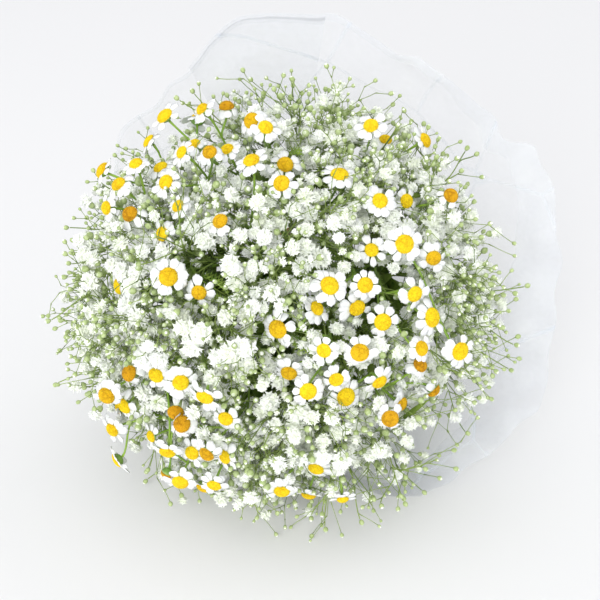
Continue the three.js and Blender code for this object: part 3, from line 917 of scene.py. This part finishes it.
def branch(start, way, length, forks, florets):
    """A twig that forks in two so many times, with a bud or a small floret on each last end.
    Gives back its runs and its flowers, or none where no end finds room."""
    end = start + way * length
    out = unit(way + dome_normal(end) * TWIG_RISE)
    if forks == 0:
        thin = airy(end)
        kind = "pompom" if growth.uniform() < florets * (1 - EDGE_FEWER * thin) else "bud"
        outer = kind == "bud" and proud(end) + EDGE_OUTER * thin > OUTER_FROM
        if kind == "bud" and not outer and growth.uniform() < OPENING_SHARE:
            kind = "opening"
        radius = growth.uniform(*SMALL_RADII["outer" if outer else kind])
        centre = end + out * radius
        if not free(kind, centre, radius):
            return [], []
        hold(centre, radius)
        return [twig(start, way, end, out)], [(kind, centre, out, radius)]
    side = sideways(out)
    runs, blooms = [], []
    for hand in (1, -1):
        fork = unit(out + side * hand * growth.uniform(*FORK_SPREAD))
        long = length * FORK_SHORTER * growth.uniform(*FORK_UNEVEN)
        grown = branch(end, fork, long, forks - 1, florets)
        runs += grown[0]
        blooms += grown[1]
    return ([twig(start, way, end, out)] + runs, blooms) if blooms else ([], [])


def clump(flower):
    """The two or three pompoms that stand close together where the solid floret is."""
    edge = airy(flower["centre"])
    count = 2 if growth.uniform() < CLUMP_PAIRS + (1 - CLUMP_PAIRS) * edge else 3
    head = turned(flower["facing"], flower["spin"])
    runs, blooms = [], []
    for i in range(count):
        radius = growth.uniform(*POMPOM_RADII) * (1 - EDGE_SMALLER * edge)
        turn = 2 * math.pi * (i / count + growth.uniform(-CLUMP_STRAY, CLUMP_STRAY))
        away = head @ np.array([math.cos(turn), math.sin(turn), 0])
        sink = flower["facing"] * growth.uniform(*CLUMP_SINK)
        centre = flower["centre"] + away * CLUMP_OUT[count] - sink
        centre = centre - dome_normal(centre) * max(proud(centre) - PROUD["pompom"], 0)
        centre = centre + UP * max(radius + FLOOR_ROOM - TIE_HEIGHT - centre @ UP, 0)
        facing = unit(flower["facing"] + away * CLUMP_LEAN)
        fork, way = on_line(flower["line"], CLUMP_SHARE - CLUMP_STEP * i)
        runs.append(twig(fork, way, centre - facing * radius * POMPOM_SEAT, facing))
        blooms.append(("pompom", centre, facing, radius))
        hold(centre, radius)
    return runs, blooms


def side_growth(flower):
    runs, blooms = [], []
    habit = "edge" if airy(flower["centre"]) > EDGE else flower["kind"]
    for shares, lengths, forks, florets in SIDE_BRANCHES[habit]:
        fork, way = on_line(flower["line"], growth.uniform(*shares))
        leaving = unit(way + sideways(way) * growth.uniform(*BRANCH_SPREAD))
        grown = branch(fork, leaving, growth.uniform(*lengths), forks, florets)
        runs += grown[0]
        blooms += grown[1]
    return runs, blooms


gypsophila_stem = stem_finish("wiry gypsophila stem", "#95A959", "#5F7632")
gypsophila_sprays = [spray for spray in sprays if spray["kind"] == "gypsophila"]
for spray in gypsophila_sprays:
    grow_stalks(spray)
    for flower in spray["flowers"]:
        if flower["kind"] == "floret":
            flower["clump"] = clump(flower)
for spray in gypsophila_sprays:
    runs = [stem_run(spray, GYPSOPHILA_STEM_RADII)]
    spray["blooms"] = []
    for flower in spray["flowers"]:
        line, largest = flower["line"], SMALL_RADII["outer"][1]
        if flower["kind"] == "bud":
            spray["blooms"].append(("bud", flower["centre"], flower["facing"], largest))
        else:
            line = line[:-1]
        runs.append(stalk_run(line, GYPSOPHILA_STALK_RADII))
        for more, blooms in (side_growth(flower), flower.get("clump", ([], []))):
            runs += more
            spray["blooms"] += blooms
    stems = tubes(spray["node"] + "_stems", runs)
    set_up(stems, gypsophila_stem, spray["node"])

# ---- Gypsophila pompoms ----
# A double floret is a ball of nearly forty white petals, each a small wedge with a notched tip,
# set in rows from its rim to its middle. Half-open ones are tufts of a dozen petals.
POMPOM_KINDS = 4
POMPOM_CORE = 0.6
# Rows of petals: how far they rise from level, their number and length
POMPOM_ROWS = [(-0.4, 7, 0.86), (0.02, 9, 1.0), (0.38, 9, 1.0), (0.75, 7, 0.98), (1.15, 5, 0.94)]
TUFT_ROWS = [(0.55, 5, 1.0), (0.95, 5, 1.0), (1.35, 3, 0.95)]
POMPOM_PETAL = (0.28, 1, 0.87, 0.06)  # half width, where it is widest, its notch and rise
RIDGE = 0.7  # a petal's ridge is highest at this share of the way to where it is widest
RUFFLE_STRAY = 0.25
RUFFLE_TILT = 0.35
RUFFLE_WIDER = (0.8, 1.3)
RUFFLE_LONGER = (0.78, 1.12)
POMPOM_UNEVEN = (0.85, 1.1)
blooming = np.random.default_rng(31)


def wedge_model(half, widest, notch, rise):
    """A thin closed wedge of length 1 along Y: a point, two shoulders and a notch or a tip."""
    bpy.ops.mesh.primitive_cone_add(vertices=4, radius1=1, radius2=0, depth=1)
    wedge = bpy.context.object

    def form(x, y, z):
        if z > 0:
            return 0, RIDGE * widest, rise
        if abs(x) > 0.5:
            return x * half, widest, 0
        return 0, notch if y > 0 else 0, 0

    formed(wedge, form)
    return model_of(wedge)


def pompom_model(petal, rows):
    """A whole pompom of radius 1, joined from its core and its rows of petals."""
    bpy.ops.mesh.primitive_ico_sphere_add(subdivisions=1, radius=POMPOM_CORE)
    parts = [(model_of(bpy.context.object), np.eye(3), np.zeros(3))]
    for rise, count, length in rows:
        start = blooming.uniform(0, 2 * math.pi)
        for i in range(count):
            stray = blooming.uniform(-RUFFLE_STRAY, RUFFLE_STRAY)
            turn = start + (i + stray) / count * 2 * math.pi
            lean = swung(turn, -rise + blooming.uniform(-RUFFLE_TILT, RUFFLE_TILT))
            wide, long = blooming.uniform(*RUFFLE_WIDER), blooming.uniform(*RUFFLE_LONGER)
            parts.append((petal, lean * np.array([wide, length * long, 1]), np.zeros(3)))
    points, corners, sizes = joined(parts)
    # The first share is the distance from the pompom's middle, which the petal finish uses for
    # painted shade
    form = np.stack([np.linalg.norm(points, axis=1), points[:, 2] / 2 + 0.5], axis=1)
    return {"points": points, "corners": corners, "sizes": sizes, "form": form}


def floret_finish():
    """White gypsophila petals: matt and thin, with painted greenish shade towards the middle."""
    material = finish_of("white gypsophila petal", Roughness=0.65, Specular_IOR_Level=0.2,
                         Subsurface_Weight=0.3, Subsurface_Scale=1 * MM,
                         Subsurface_Radius=(1, 1, 0.9))
    # Painted shade: darker greenish grey towards the pompom's middle, where shade falls between the
    # petals
    depth = add_node(material, "ValToRGB", {"stops": [(0.4, "#E1E7D2"), (0.7, "#F9FBF8")]},
                     {"Fac": form_of(material)["X"]})
    age = add_node(material, "Attribute", {"attribute_name": "tone"}, output="Fac")
    cast = add_node(material, "ValToRGB", {"stops": [(0.0, "#FFFFFF"), (1.0, "#F8FAF0")]},
                    {"Fac": age})
    petal = add_node(material, "MixRGB", {"blend_type": "MULTIPLY", "Fac": 1.0},
                     {"Color1": depth, "Color2": cast})
    return surfaced(material, {"Base Color": petal})


ruffle = wedge_model(*POMPOM_PETAL)
pompoms = [pompom_model(ruffle, POMPOM_ROWS) for _ in range(POMPOM_KINDS)]
tufts = [pompom_model(ruffle, TUFT_ROWS) for _ in range(POMPOM_KINDS)]
white_floret = floret_finish()
for spray in gypsophila_sprays:
    florets = []
    for kind, centre, facing, radius in spray["blooms"]:
        if kind != "bud":
            model = (pompoms if kind == "pompom" else tufts)[int(blooming.integers(POMPOM_KINDS))]
            head = turned(facing, blooming.uniform(0, 2 * math.pi))
            size = radius * blooming.uniform(*POMPOM_UNEVEN, 3)
            florets.append((model, head * size, centre, blooming.uniform()))
    bear(spray, "florets", white_floret, florets, False)

# ---- Gypsophila buds ----
# Most of a spray is still in bud: little green calyxes with five ribs, which open at the point
# in a small white star. Each pompom and half-open floret sits in such a calyx too.
BUD_SIDES = 10
BUD_PROFILE = ((-1, -0.6, 0, 0.6, 1), (0.2, 0.72, 1, 0.75, 0.1))
BUD_LONG = 1.15
BUD_RIBS = 0.16
RIBS_FROM = -0.3  # the height where the ribs rise out of the base
RIBS_LEAST = 0.15
BUD_SPOT = 2
CALYX_SHARES = {"pompom": (0.42, 0.62), "opening": (0.68, 0.25)}  # radius and depth, of a floret's


def bud_model():
    bpy.ops.mesh.primitive_uv_sphere_add(segments=BUD_SIDES, ring_count=5, radius=1)
    bud = bpy.context.object

    def form(x, y, z):
        wide = np.interp(z, *BUD_PROFILE) / max(math.hypot(x, y), 1e-6)
        rise = max(z - RIBS_FROM, RIBS_LEAST)
        ribs = BUD_RIBS * rise * math.cos(BUD_SIDES / 2 * math.atan2(y, x))
        return x * wide * (1 + ribs), y * wide * (1 + ribs), z * BUD_LONG

    formed(bud, form)
    model = model_of(bud, 2)
    turns = np.arctan2(model["points"][:, 1], model["points"][:, 0])
    model["form"][:, 0] = np.cos(BUD_SIDES / 2 * turns) / 2 + 0.5
    return model


def bud_finish():
    """Gypsophila calyx: dull pale green ribs, with the white petals showing at the point, and
    further down between the ribs and on riper buds."""
    material = finish_of("gypsophila bud", Roughness=0.6, Specular_IOR_Level=0.25)
    form = form_of(material)
    ripe = add_node(material, "Attribute", {"attribute_name": "tone"}, output="Fac")
    ribs = add_node(material, "ValToRGB", {"stops": [(0.25, "#DDE5B8"), (0.7, "#849E51")]},
                    {"Fac": form["X"]})
    height = add_node(material, "Math", {"operation": "MULTIPLY_ADD", 1: 0.16},
                      {0: ripe, 2: form["Y"]})
    open_to = add_node(material, "Math", {"operation": "MULTIPLY_ADD", 1: -0.2},
                       {0: form["X"], 2: height})
    point = add_node(material, "MapRange", {1: 0.8, 2: 0.9}, {0: open_to})
    skin = add_node(material, "MixRGB", {"Color2": linear("#FBFCF5")},
                    {"Fac": point, "Color1": ribs})
    shade, _ = mottled(material, [(0.3, "#D2DBC2"), (0.6, "#FFFFFF")], BUD_SPOT, Detail=2)
    bud = add_node(material, "MixRGB", {"blend_type": "MULTIPLY", "Fac": 1.0},
                   {"Color1": skin, "Color2": shade})
    return surfaced(material, {"Base Color": bud})


shut_bud = bud_model()
green_bud = bud_finish()
for spray in gypsophila_sprays:
    buds = []
    for kind, centre, facing, radius in spray["blooms"]:
        head = turned(facing, blooming.uniform(0, 2 * math.pi))
        share, seat = CALYX_SHARES.get(kind, (1, 0))
        ripeness = blooming.uniform() if kind == "bud" else 0
        buds.append((shut_bud, head * radius * share, centre - facing * radius * seat, ripeness))
    bear(spray, "buds", green_bud, buds)

# ---- Leaves ----
# Between the stalks the bunch is dark with leaves: finely cut, feathery ones on the daisies'
# stems, and narrow lance-shaped ones on the gypsophila, the largest low on its stems.
FEATHER_LONG = 34
FEATHER_PAIRS = 8
FEATHER_RIB = (0.022, 0.3, 1, 0.012)  # half width, where it is widest, its tip and rise
FEATHER_LOBE = (0.1, 0.55, 1, 0.03)
LOBE_LONG = 0.34
LOBE_SLANT = 0.85
LOBE_DROOP = 0.15
TOOTH_SHARES = (0.35, 0.6)
TOOTH_LONG = 0.45
TOOTH_SLANT = 0.7
LANCE_LONG = 22
LANCE_HALF = 1.7
LANCE_FOLD = 0.35
LANCE_HANG = 3
LEAF_THICK = 0.3
FEATHERS = 5  # for each daisy stem, besides one for each head
LANCES = 9  # for each gypsophila stem, besides one for each stalk
LOWER_LANCES = 17
STEM_LEAVES = (0.35, 1)  # where leaves grow, as shares of a stem's or a stalk's rise
STALK_LEAVES = (0.05, 0.7)
LOWER_LEAVES = (0.6, 0.95)
FEATHER_HABIT = ((0.5, 1.1), (0.6, 1.05))  # how far leaves spread from what bears them, and sizes
LANCE_HABIT = ((0.4, 1), (0.5, 1.2))
LOWER_HABIT = ((0.5, 1.3), (1.8, 2.6))
leafing = np.random.default_rng(47)


def feather_model():
    """A feathery leaf joined from a thin rib and pairs of slanting lobes, each with small teeth."""
    rib, lobe = wedge_model(*FEATHER_RIB), wedge_model(*FEATHER_LOBE)
    parts = [(rib, np.eye(3) * FEATHER_LONG, np.zeros(3))]
    for pair in range(FEATHER_PAIRS):
        share = (pair + 1) / (FEATHER_PAIRS + 1)
        long = FEATHER_LONG * LOBE_LONG * math.sin(math.pi * (0.2 + 0.75 * share))
        for hand in (-1, 1):
            turn = math.pi / 2 - hand * LOBE_SLANT
            root = np.array([0, FEATHER_LONG * share, 0])
            lean = swung(turn, LOBE_DROOP)
            parts.append((lobe, lean * long, root))
            for tooth in TOOTH_SHARES:
                spot = root + lean @ np.array([0, long * tooth, 0])
                for slant in (TOOTH_SLANT, -TOOTH_SLANT):
                    parts.append((lobe, swung(turn + slant, 0) * long * TOOTH_LONG, spot))
    return parts


def lance_model():
    bpy.ops.mesh.primitive_grid_add(x_subdivisions=2, y_subdivisions=5, size=2)
    leaf = bpy.context.object

    def form(x, y, z):
        along = (y + 1) / 2
        half = LANCE_HALF * math.sin(math.pi * (0.1 + 0.88 * along) ** 0.8)
        return x * half, LANCE_LONG * along, LANCE_FOLD * half * abs(x) - LANCE_HANG * along ** 2

    formed(leaf, form)
    thickened(leaf, LEAF_THICK)
    return [(model_of(leaf), np.eye(3), np.zeros(3))]


def leaf_spots(spray, on_stem, on_stalk):
    """Where leaves grow and which way: up the spray's stem, and on its stalks."""
    rise = spray["hub"] - spray["place"]
    spots = [(spray["place"] + rise * leafing.uniform(*STEM_LEAVES), unit(rise))
             for _ in range(on_stem)]
    for flower in spray["flowers"]:
        for _ in range(on_stalk):
            spots.append(on_line(flower["line"], leafing.uniform(*STALK_LEAVES)))
    return spots


def lower_spots(spray):
    rise = spray["hub"] - spray["place"]
    for _ in range(LOWER_LANCES):
        yield spray["place"] + rise * leafing.uniform(*LOWER_LEAVES), unit(rise)


def leaves_at(spots, leaf, long, spreads, sizes):
    """Copies of a leaf at the spots where it finds room, each with its upper side turned to the
    outside of the dome."""
    items = []
    for spot, way in spots:
        out = unit(way + sideways(way) * leafing.uniform(*spreads))
        size = leafing.uniform(*sizes)
        if free("leaf", spot + out * long * size, 1):
            across = sideways(out)
            pose = np.stack([across, out, np.cross(across, out)], axis=1) * size
            items += [(model, pose @ matrix, spot + pose @ place, 0)
                      for model, matrix, place in leaf]
    return items


feather_leaf = feather_model()
lance_leaf = lance_model()
daisy_green = green_finish("feathery chamomile leaf", "#A3BE52", "#6C8E36", "#B9CE6E")
gypsophila_green = green_finish("gypsophila leaf", "#80993C", "#4D6A23", "#9DB35A")
for spray in daisy_sprays:
    feathers = leaves_at(leaf_spots(spray, FEATHERS, 1), feather_leaf, FEATHER_LONG, *FEATHER_HABIT)
    bear(spray, "leaves", daisy_green, feathers)
for spray in gypsophila_sprays:
    lances = leaves_at(leaf_spots(spray, LANCES, 1), lance_leaf, LANCE_LONG, *LANCE_HABIT)
    lances += leaves_at(lower_spots(spray), lance_leaf, LANCE_LONG, *LOWER_HABIT)
    bear(spray, "leaves", gypsophila_green, lances)

# ---- Film wrap ----
# One sheet of clear polypropylene film, rolled into a cone round the bunch so that its side edges
# lap over each other on top. It is gathered under the twine, stands open round the flowers, lies
# on the floor below them, and has its rim turned in on the right. Handling has crumpled it.
FILM_THICK = 0.25  # drawn several times too thick, so that it has two sides
FILM_COLUMNS = 270
FILM_ROWS = (8, 46, 7)  # on the skirt, on the cone and on the turned rim
FILM_START = math.radians(82)
FILM_LAP = math.radians(30)
FILM_CREASE = math.radians(16)  # folds sharper than this stay sharp
LAP_LIFT = 1.8
HEM = {"turn": -12, "width": 48, "least": 1.5, "most": 24, "lift": 1.0}
GATHERS = {"count": 34, "depth": 1.3}
LOOSE_FROM = 12  # past the tie, the film is free to gather and crease
FILM_TUCKS = [  # angle, half width in degrees, depth
    (118, 3.5, 3.5), (97, 5, 3), (62, 3, 4), (41, 4, 6), (33, 2.5, 5), (8, 4, 4), (-24, 3, 5),
    (-48, 4, 4),
]
CREASE_COUNT = 18
CREASE_SPANS = (20, 70)
CREASE_DEPTH = 0.055
CREASE_SHIFT = 1.2
CREASE_LEAST = -0.2
NECK_CREASES = 0.35  # share of the creases' depth that is left at the neck
FLUTTERS = ((5, 2.0, 0.4), (13, 1.0, 2.1), (29, 0.3, 4.0))  # waves round the rim, depth, phase
HAZE_PATCH = 33.3
SCUFF = 6.25
STRESS_CELL = 71.4
creasing = np.random.default_rng(61)
crease_ways = np.array([unit(way) for way in creasing.normal(size=(CREASE_COUNT, 3))])
crease_spans = creasing.uniform(*CREASE_SPANS, CREASE_COUNT)
crease_starts = creasing.uniform(size=CREASE_COUNT)


def creased(point):
    """Straight creases in all directions, as the film's distance out from its smooth form."""
    waves = np.abs((crease_ways @ point / crease_spans + crease_starts) % 1 - 0.5) - 0.25
    return max(CREASE_SHIFT + float(waves @ crease_spans) * CREASE_DEPTH, CREASE_LEAST)


def film_row(v, reach, hem):
    """Along the bunch at a share v of the film's rows, and how far in a turned rim lies."""
    skirt, cone, turned_rim = FILM_ROWS
    row = v * sum(FILM_ROWS)
    if row <= skirt:
        return -WRAP_SKIRT + (WRAP_SKIRT - NECK_HALF) * row / skirt, 0
    if row <= skirt + cone:
        share = (row - skirt - 1) / (cone - 1)
        return (NECK_HALF + (reach - NECK_HALF) * share if share >= 0 else -NECK_HALF), 0
    share = (row - skirt - cone) / turned_rim
    return reach - hem * share, -HEM["lift"] * min(1, 0.4 + share)


def film_form(x, y, z):
    angle = FILM_START + (x + 1) / 2 * (2 * math.pi + FILM_LAP)
    turn = (angle + math.pi) % (2 * math.pi) - math.pi
    degrees = math.degrees(turn)
    hem = HEM["least"] + HEM["most"] * math.exp(-((degrees - HEM["turn"]) / HEM["width"]) ** 2)
    reach = rim_at(turn)[1]
    along, inward = film_row((y + 1) / 2, reach, hem)
    out = wrap_radius(turn, along)
    share = min(max((along - NECK_HALF) / (reach - NECK_HALF), 0), 1)
    loose = min(max(abs(along) - NECK_HALF, 0) / LOOSE_FROM, 1)
    out += GATHERS["depth"] * loose * (1 - share) ** 2 * (1 + math.sin(GATHERS["count"] * turn))
    place = np.array([out * math.cos(turn), out * math.sin(turn), along])
    out += loose * creased(place) * (NECK_CREASES + (1 - NECK_CREASES) * share)
    for middle, width, depth in FILM_TUCKS:
        out += depth * share ** 2 * math.exp(-((degrees - middle) / width) ** 2)
    flutter = sum(depth * math.sin(count * turn + phase) for count, depth, phase in FLUTTERS)
    out += share ** 6 * flutter
    out += inward + LAP_LIFT * loose * (angle - FILM_START) / (2 * math.pi)
    out = min(out, surface_radius(turn, along) + (inward if along > NECK_HALF else 0))
    return out * math.cos(turn), out * math.sin(turn), along


def film_finish():
    """Thin clear film that has been handled: glossy, with bluish white haze in patches, whiter
    along stressed folds, and fine scuffs."""
    material = finish_of("polypropylene film", Roughness=0.28, IOR=1.49, Specular_IOR_Level=0.6)
    cast, haze = mottled(material, [(0.35, "#D3DDEC"), (0.65, "#F6F9FD")], HAZE_PATCH,
                         Detail=5, Roughness=0.6)
    place = add_node(material, "TexCoord", output="Object")
    scuffs = add_node(material, "TexNoise",
                      {"Scale": 1 / (SCUFF * MM), "Detail": 3, "Distortion": 1.5},
                      {"Vector": place})
    relief = add_node(material, "Bump", {"Strength": 0.35, "Distance": 0.6 * MM},
                      {"Height": scuffs})
    folds = add_node(material, "TexVoronoi",
                     {"feature": "DISTANCE_TO_EDGE", "Scale": 1 / (STRESS_CELL * MM)},
                     {"Vector": place})
    stress = add_node(material, "MapRange", {1: 0.0, 2: 0.03, 3: 0.18, 4: 0.0}, {0: folds})
    patches = add_node(material, "MapRange", {1: 0.35, 2: 0.65, 3: 0.03, 4: 0.11}, {0: haze})
    cloudy = add_node(material, "Math", {"operation": "MAXIMUM"}, {0: stress, 1: patches})
    return surfaced(material, {"Alpha": cloudy, "Base Color": cast, "Normal": relief})


bpy.ops.mesh.primitive_grid_add(x_subdivisions=FILM_COLUMNS, y_subdivisions=sum(FILM_ROWS), size=2)
film = bpy.context.object
film.name = "film_wrap_sheet"
formed(film, film_form)
thickened(film, FILM_THICK)
edited((bpy.ops.mesh.normals_make_consistent, {"inside": False}))
for vertex in film.data.vertices:
    vertex.co = laid(vertex.co)
select_only(film)
bpy.ops.object.shade_smooth_by_angle(angle=FILM_CREASE)
set_up(film, film_finish(), "film_wrap")

# ---- Twine ----
# Two-ply jute twine, wound four times round the film's neck over the crossing of the stems, and
# tied on top in a small knot with short ends.
TWINE_PLY = 0.56
PLY_OFF = 0.9  # a ply's middle is this share of its radius off the twine's
TWINE_LAY = 5.5  # along the twine for one full turn of its plies
TWINE_TURNS = 3.9
TWINE_RING = 15.05
TWINE_WIDTH = 6.0
TWINE_STEP = 0.7
COIL_POINTS = 240
KNOT_SIZE = 1.5
KNOT_RISE = 2
KNOT_HIGH = 0.7
KNOT_TIGHT = 0.6
KNOT_POINTS = 48
END_OUT = (1, 12)  # an end leaves the knot here, and runs so far out,
END_UP = (2.4, 3, 9)  # starts so high over the coils, rises and then falls,
END_ON = (2, 9)  # and swings so far along the stems
END_POINTS = 12
JUTE_FIBRE = 0.556  # far coarser than real fibres, so that the yarn shows a grain


def twisted(path):
    """The two plies that turn round each other along a path."""
    path = np.asarray(path)
    steps = np.linalg.norm(np.diff(path, axis=0), axis=1)
    along = np.concatenate([[0], np.cumsum(steps)])
    at = np.linspace(0, along[-1], max(int(along[-1] / TWINE_STEP), 4))
    points = np.stack([np.interp(at, along, path[:, k]) for k in range(3)], axis=1)
    ways = np.gradient(points, axis=0)
    side = unit(np.cross(ways[0], [0.3, 0.2, 0.9]))
    plies = ([], [])
    for point, way, done in zip(points, ways, at):
        way = unit(way)
        side = unit(side - way * (side @ way))
        turn = 2 * math.pi * done / TWINE_LAY
        off = (side * math.cos(turn) + np.cross(way, side) * math.sin(turn)) * TWINE_PLY * PLY_OFF
        for ply, hand in zip(plies, (1, -1)):
            ply.append(point + off * hand)
    return [(np.array(ply), [TWINE_PLY] * len(ply)) for ply in plies]


def twine_finish():
    """Jute: matt brown yarn of uneven tone, with painted shade darkening the relief's hollows."""
    material = finish_of("jute twine", Roughness=0.95, Specular_IOR_Level=0.1)
    # The noise gives the fibres their uneven tone and the relief; the darker tone in the hollows is
    # painted shade
    tone, fibres = mottled(material, [(0.3, "#7A5A30"), (0.7, "#C9A66B")], JUTE_FIBRE,
                           Detail=4, Roughness=0.7)
    relief = add_node(material, "Bump", {"Strength": 0.6, "Distance": 0.3 * MM}, {"Height": fibres})
    return surfaced(material, {"Base Color": tone, "Normal": relief})


coils = []
for i in range(COIL_POINTS + 1):
    turn = math.pi / 2 + 2 * math.pi * TWINE_TURNS * i / COIL_POINTS
    coils.append((TWINE_RING * math.cos(turn), TWINE_RING * math.sin(turn),
                  TWINE_WIDTH * (i / COIL_POINTS - 0.5)))
knot = []
for i in range(KNOT_POINTS + 1):
    turn = 2 * math.pi * i / KNOT_POINTS
    swell = KNOT_SIZE * (2 + math.cos(3 * turn))
    knot.append((KNOT_TIGHT * swell * math.cos(2 * turn),
                 TWINE_RING + KNOT_RISE + KNOT_SIZE * math.sin(3 * turn) * KNOT_HIGH,
                 KNOT_TIGHT * swell * math.sin(2 * turn)))
ends = [[(hand * (END_OUT[0] + END_OUT[1] * t),
          TWINE_RING + END_UP[0] + END_UP[1] * t - END_UP[2] * t * t,
          hand * END_ON[0] + END_ON[1] * t * hand * t)
         for t in np.linspace(0, 1, END_POINTS)] for hand in (1, -1)]
runs = [ply for path in (coils, knot, *ends) for ply in twisted(path)]
set_up(tubes("twine_tie_cord", runs), twine_finish(), "twine_tie")

# ---- Floor, light and camera ----
# The bunch lies on a plain pale floor in a bright studio, lit by a large softbox in front, one
# overhead and a weak one from the upper right. It is seen from 32 degrees above the floor, with
# the middle of its flowers a little left of the picture's.
FLOOR_SIZE = 6
VIEW_HEIGHT = math.radians(32)
VIEW_DISTANCE = 0.65
VIEW_LENS = 72
SENSOR = 36
PICTURE = 600
HEAD_PIXEL = (285, 305)
STUDIO_LIGHT = 0.68

bpy.ops.mesh.primitive_plane_add(size=FLOOR_SIZE)
floor = bpy.context.object
floor.name = "floor"
pale_board = finish_of("pale matt board", Base_Color=linear("#E6E6E6"), Roughness=0.7,
                       Specular_IOR_Level=0.2)
floor.data.materials.append(pale_board)

world = bpy.data.worlds.new("bright studio")
bpy.context.scene.world = world
world.use_nodes = True
world.node_tree.nodes["Background"].inputs["Color"].default_value = linear("#F5F6FA")
world.node_tree.nodes["Background"].inputs["Strength"].default_value = STUDIO_LIGHT

head_middle = laid([0, 0, HEAD_CENTRE])


def soft_light(name, place, size, power):
    """A large square lamp that looks at the middle of the flowers."""
    lamp = bpy.data.lights.new(name, "AREA")
    lamp.size = size
    lamp.energy = power
    light = bpy.data.objects.new(name, lamp)
    bpy.context.collection.objects.link(light)
    light.location = place
    away = Vector(place) - Vector(head_middle)
    light.rotation_euler = away.to_track_quat("Z", "Y").to_euler()


soft_light("side softbox", (3, 1.5, 4.5), 3, 16)
soft_light("overhead softbox", (-0.4, -0.9, 5), 4, 46)
soft_light("front softbox", (-1.6, -8, 4.6), 6, 840)

back = np.array([0, -math.cos(VIEW_HEIGHT), math.sin(VIEW_HEIGHT)])
upward = np.array([0, math.sin(VIEW_HEIGHT), math.cos(VIEW_HEIGHT)])
pixel = SENSOR / VIEW_LENS * VIEW_DISTANCE / PICTURE
aim = head_middle.copy()
aim[0] += (PICTURE / 2 - HEAD_PIXEL[0]) * pixel
aim += upward * (HEAD_PIXEL[1] - PICTURE / 2) * pixel
camera = bpy.data.objects.new("camera", bpy.data.cameras.new("camera"))
bpy.context.collection.objects.link(camera)
camera.data.lens = VIEW_LENS
camera.data.sensor_width = SENSOR
camera.location = aim + back * VIEW_DISTANCE
camera.rotation_euler = Vector(back).to_track_quat("Z", "Y").to_euler()
bpy.context.scene.camera = camera
bpy.context.scene.view_settings.view_transform = "Standard"
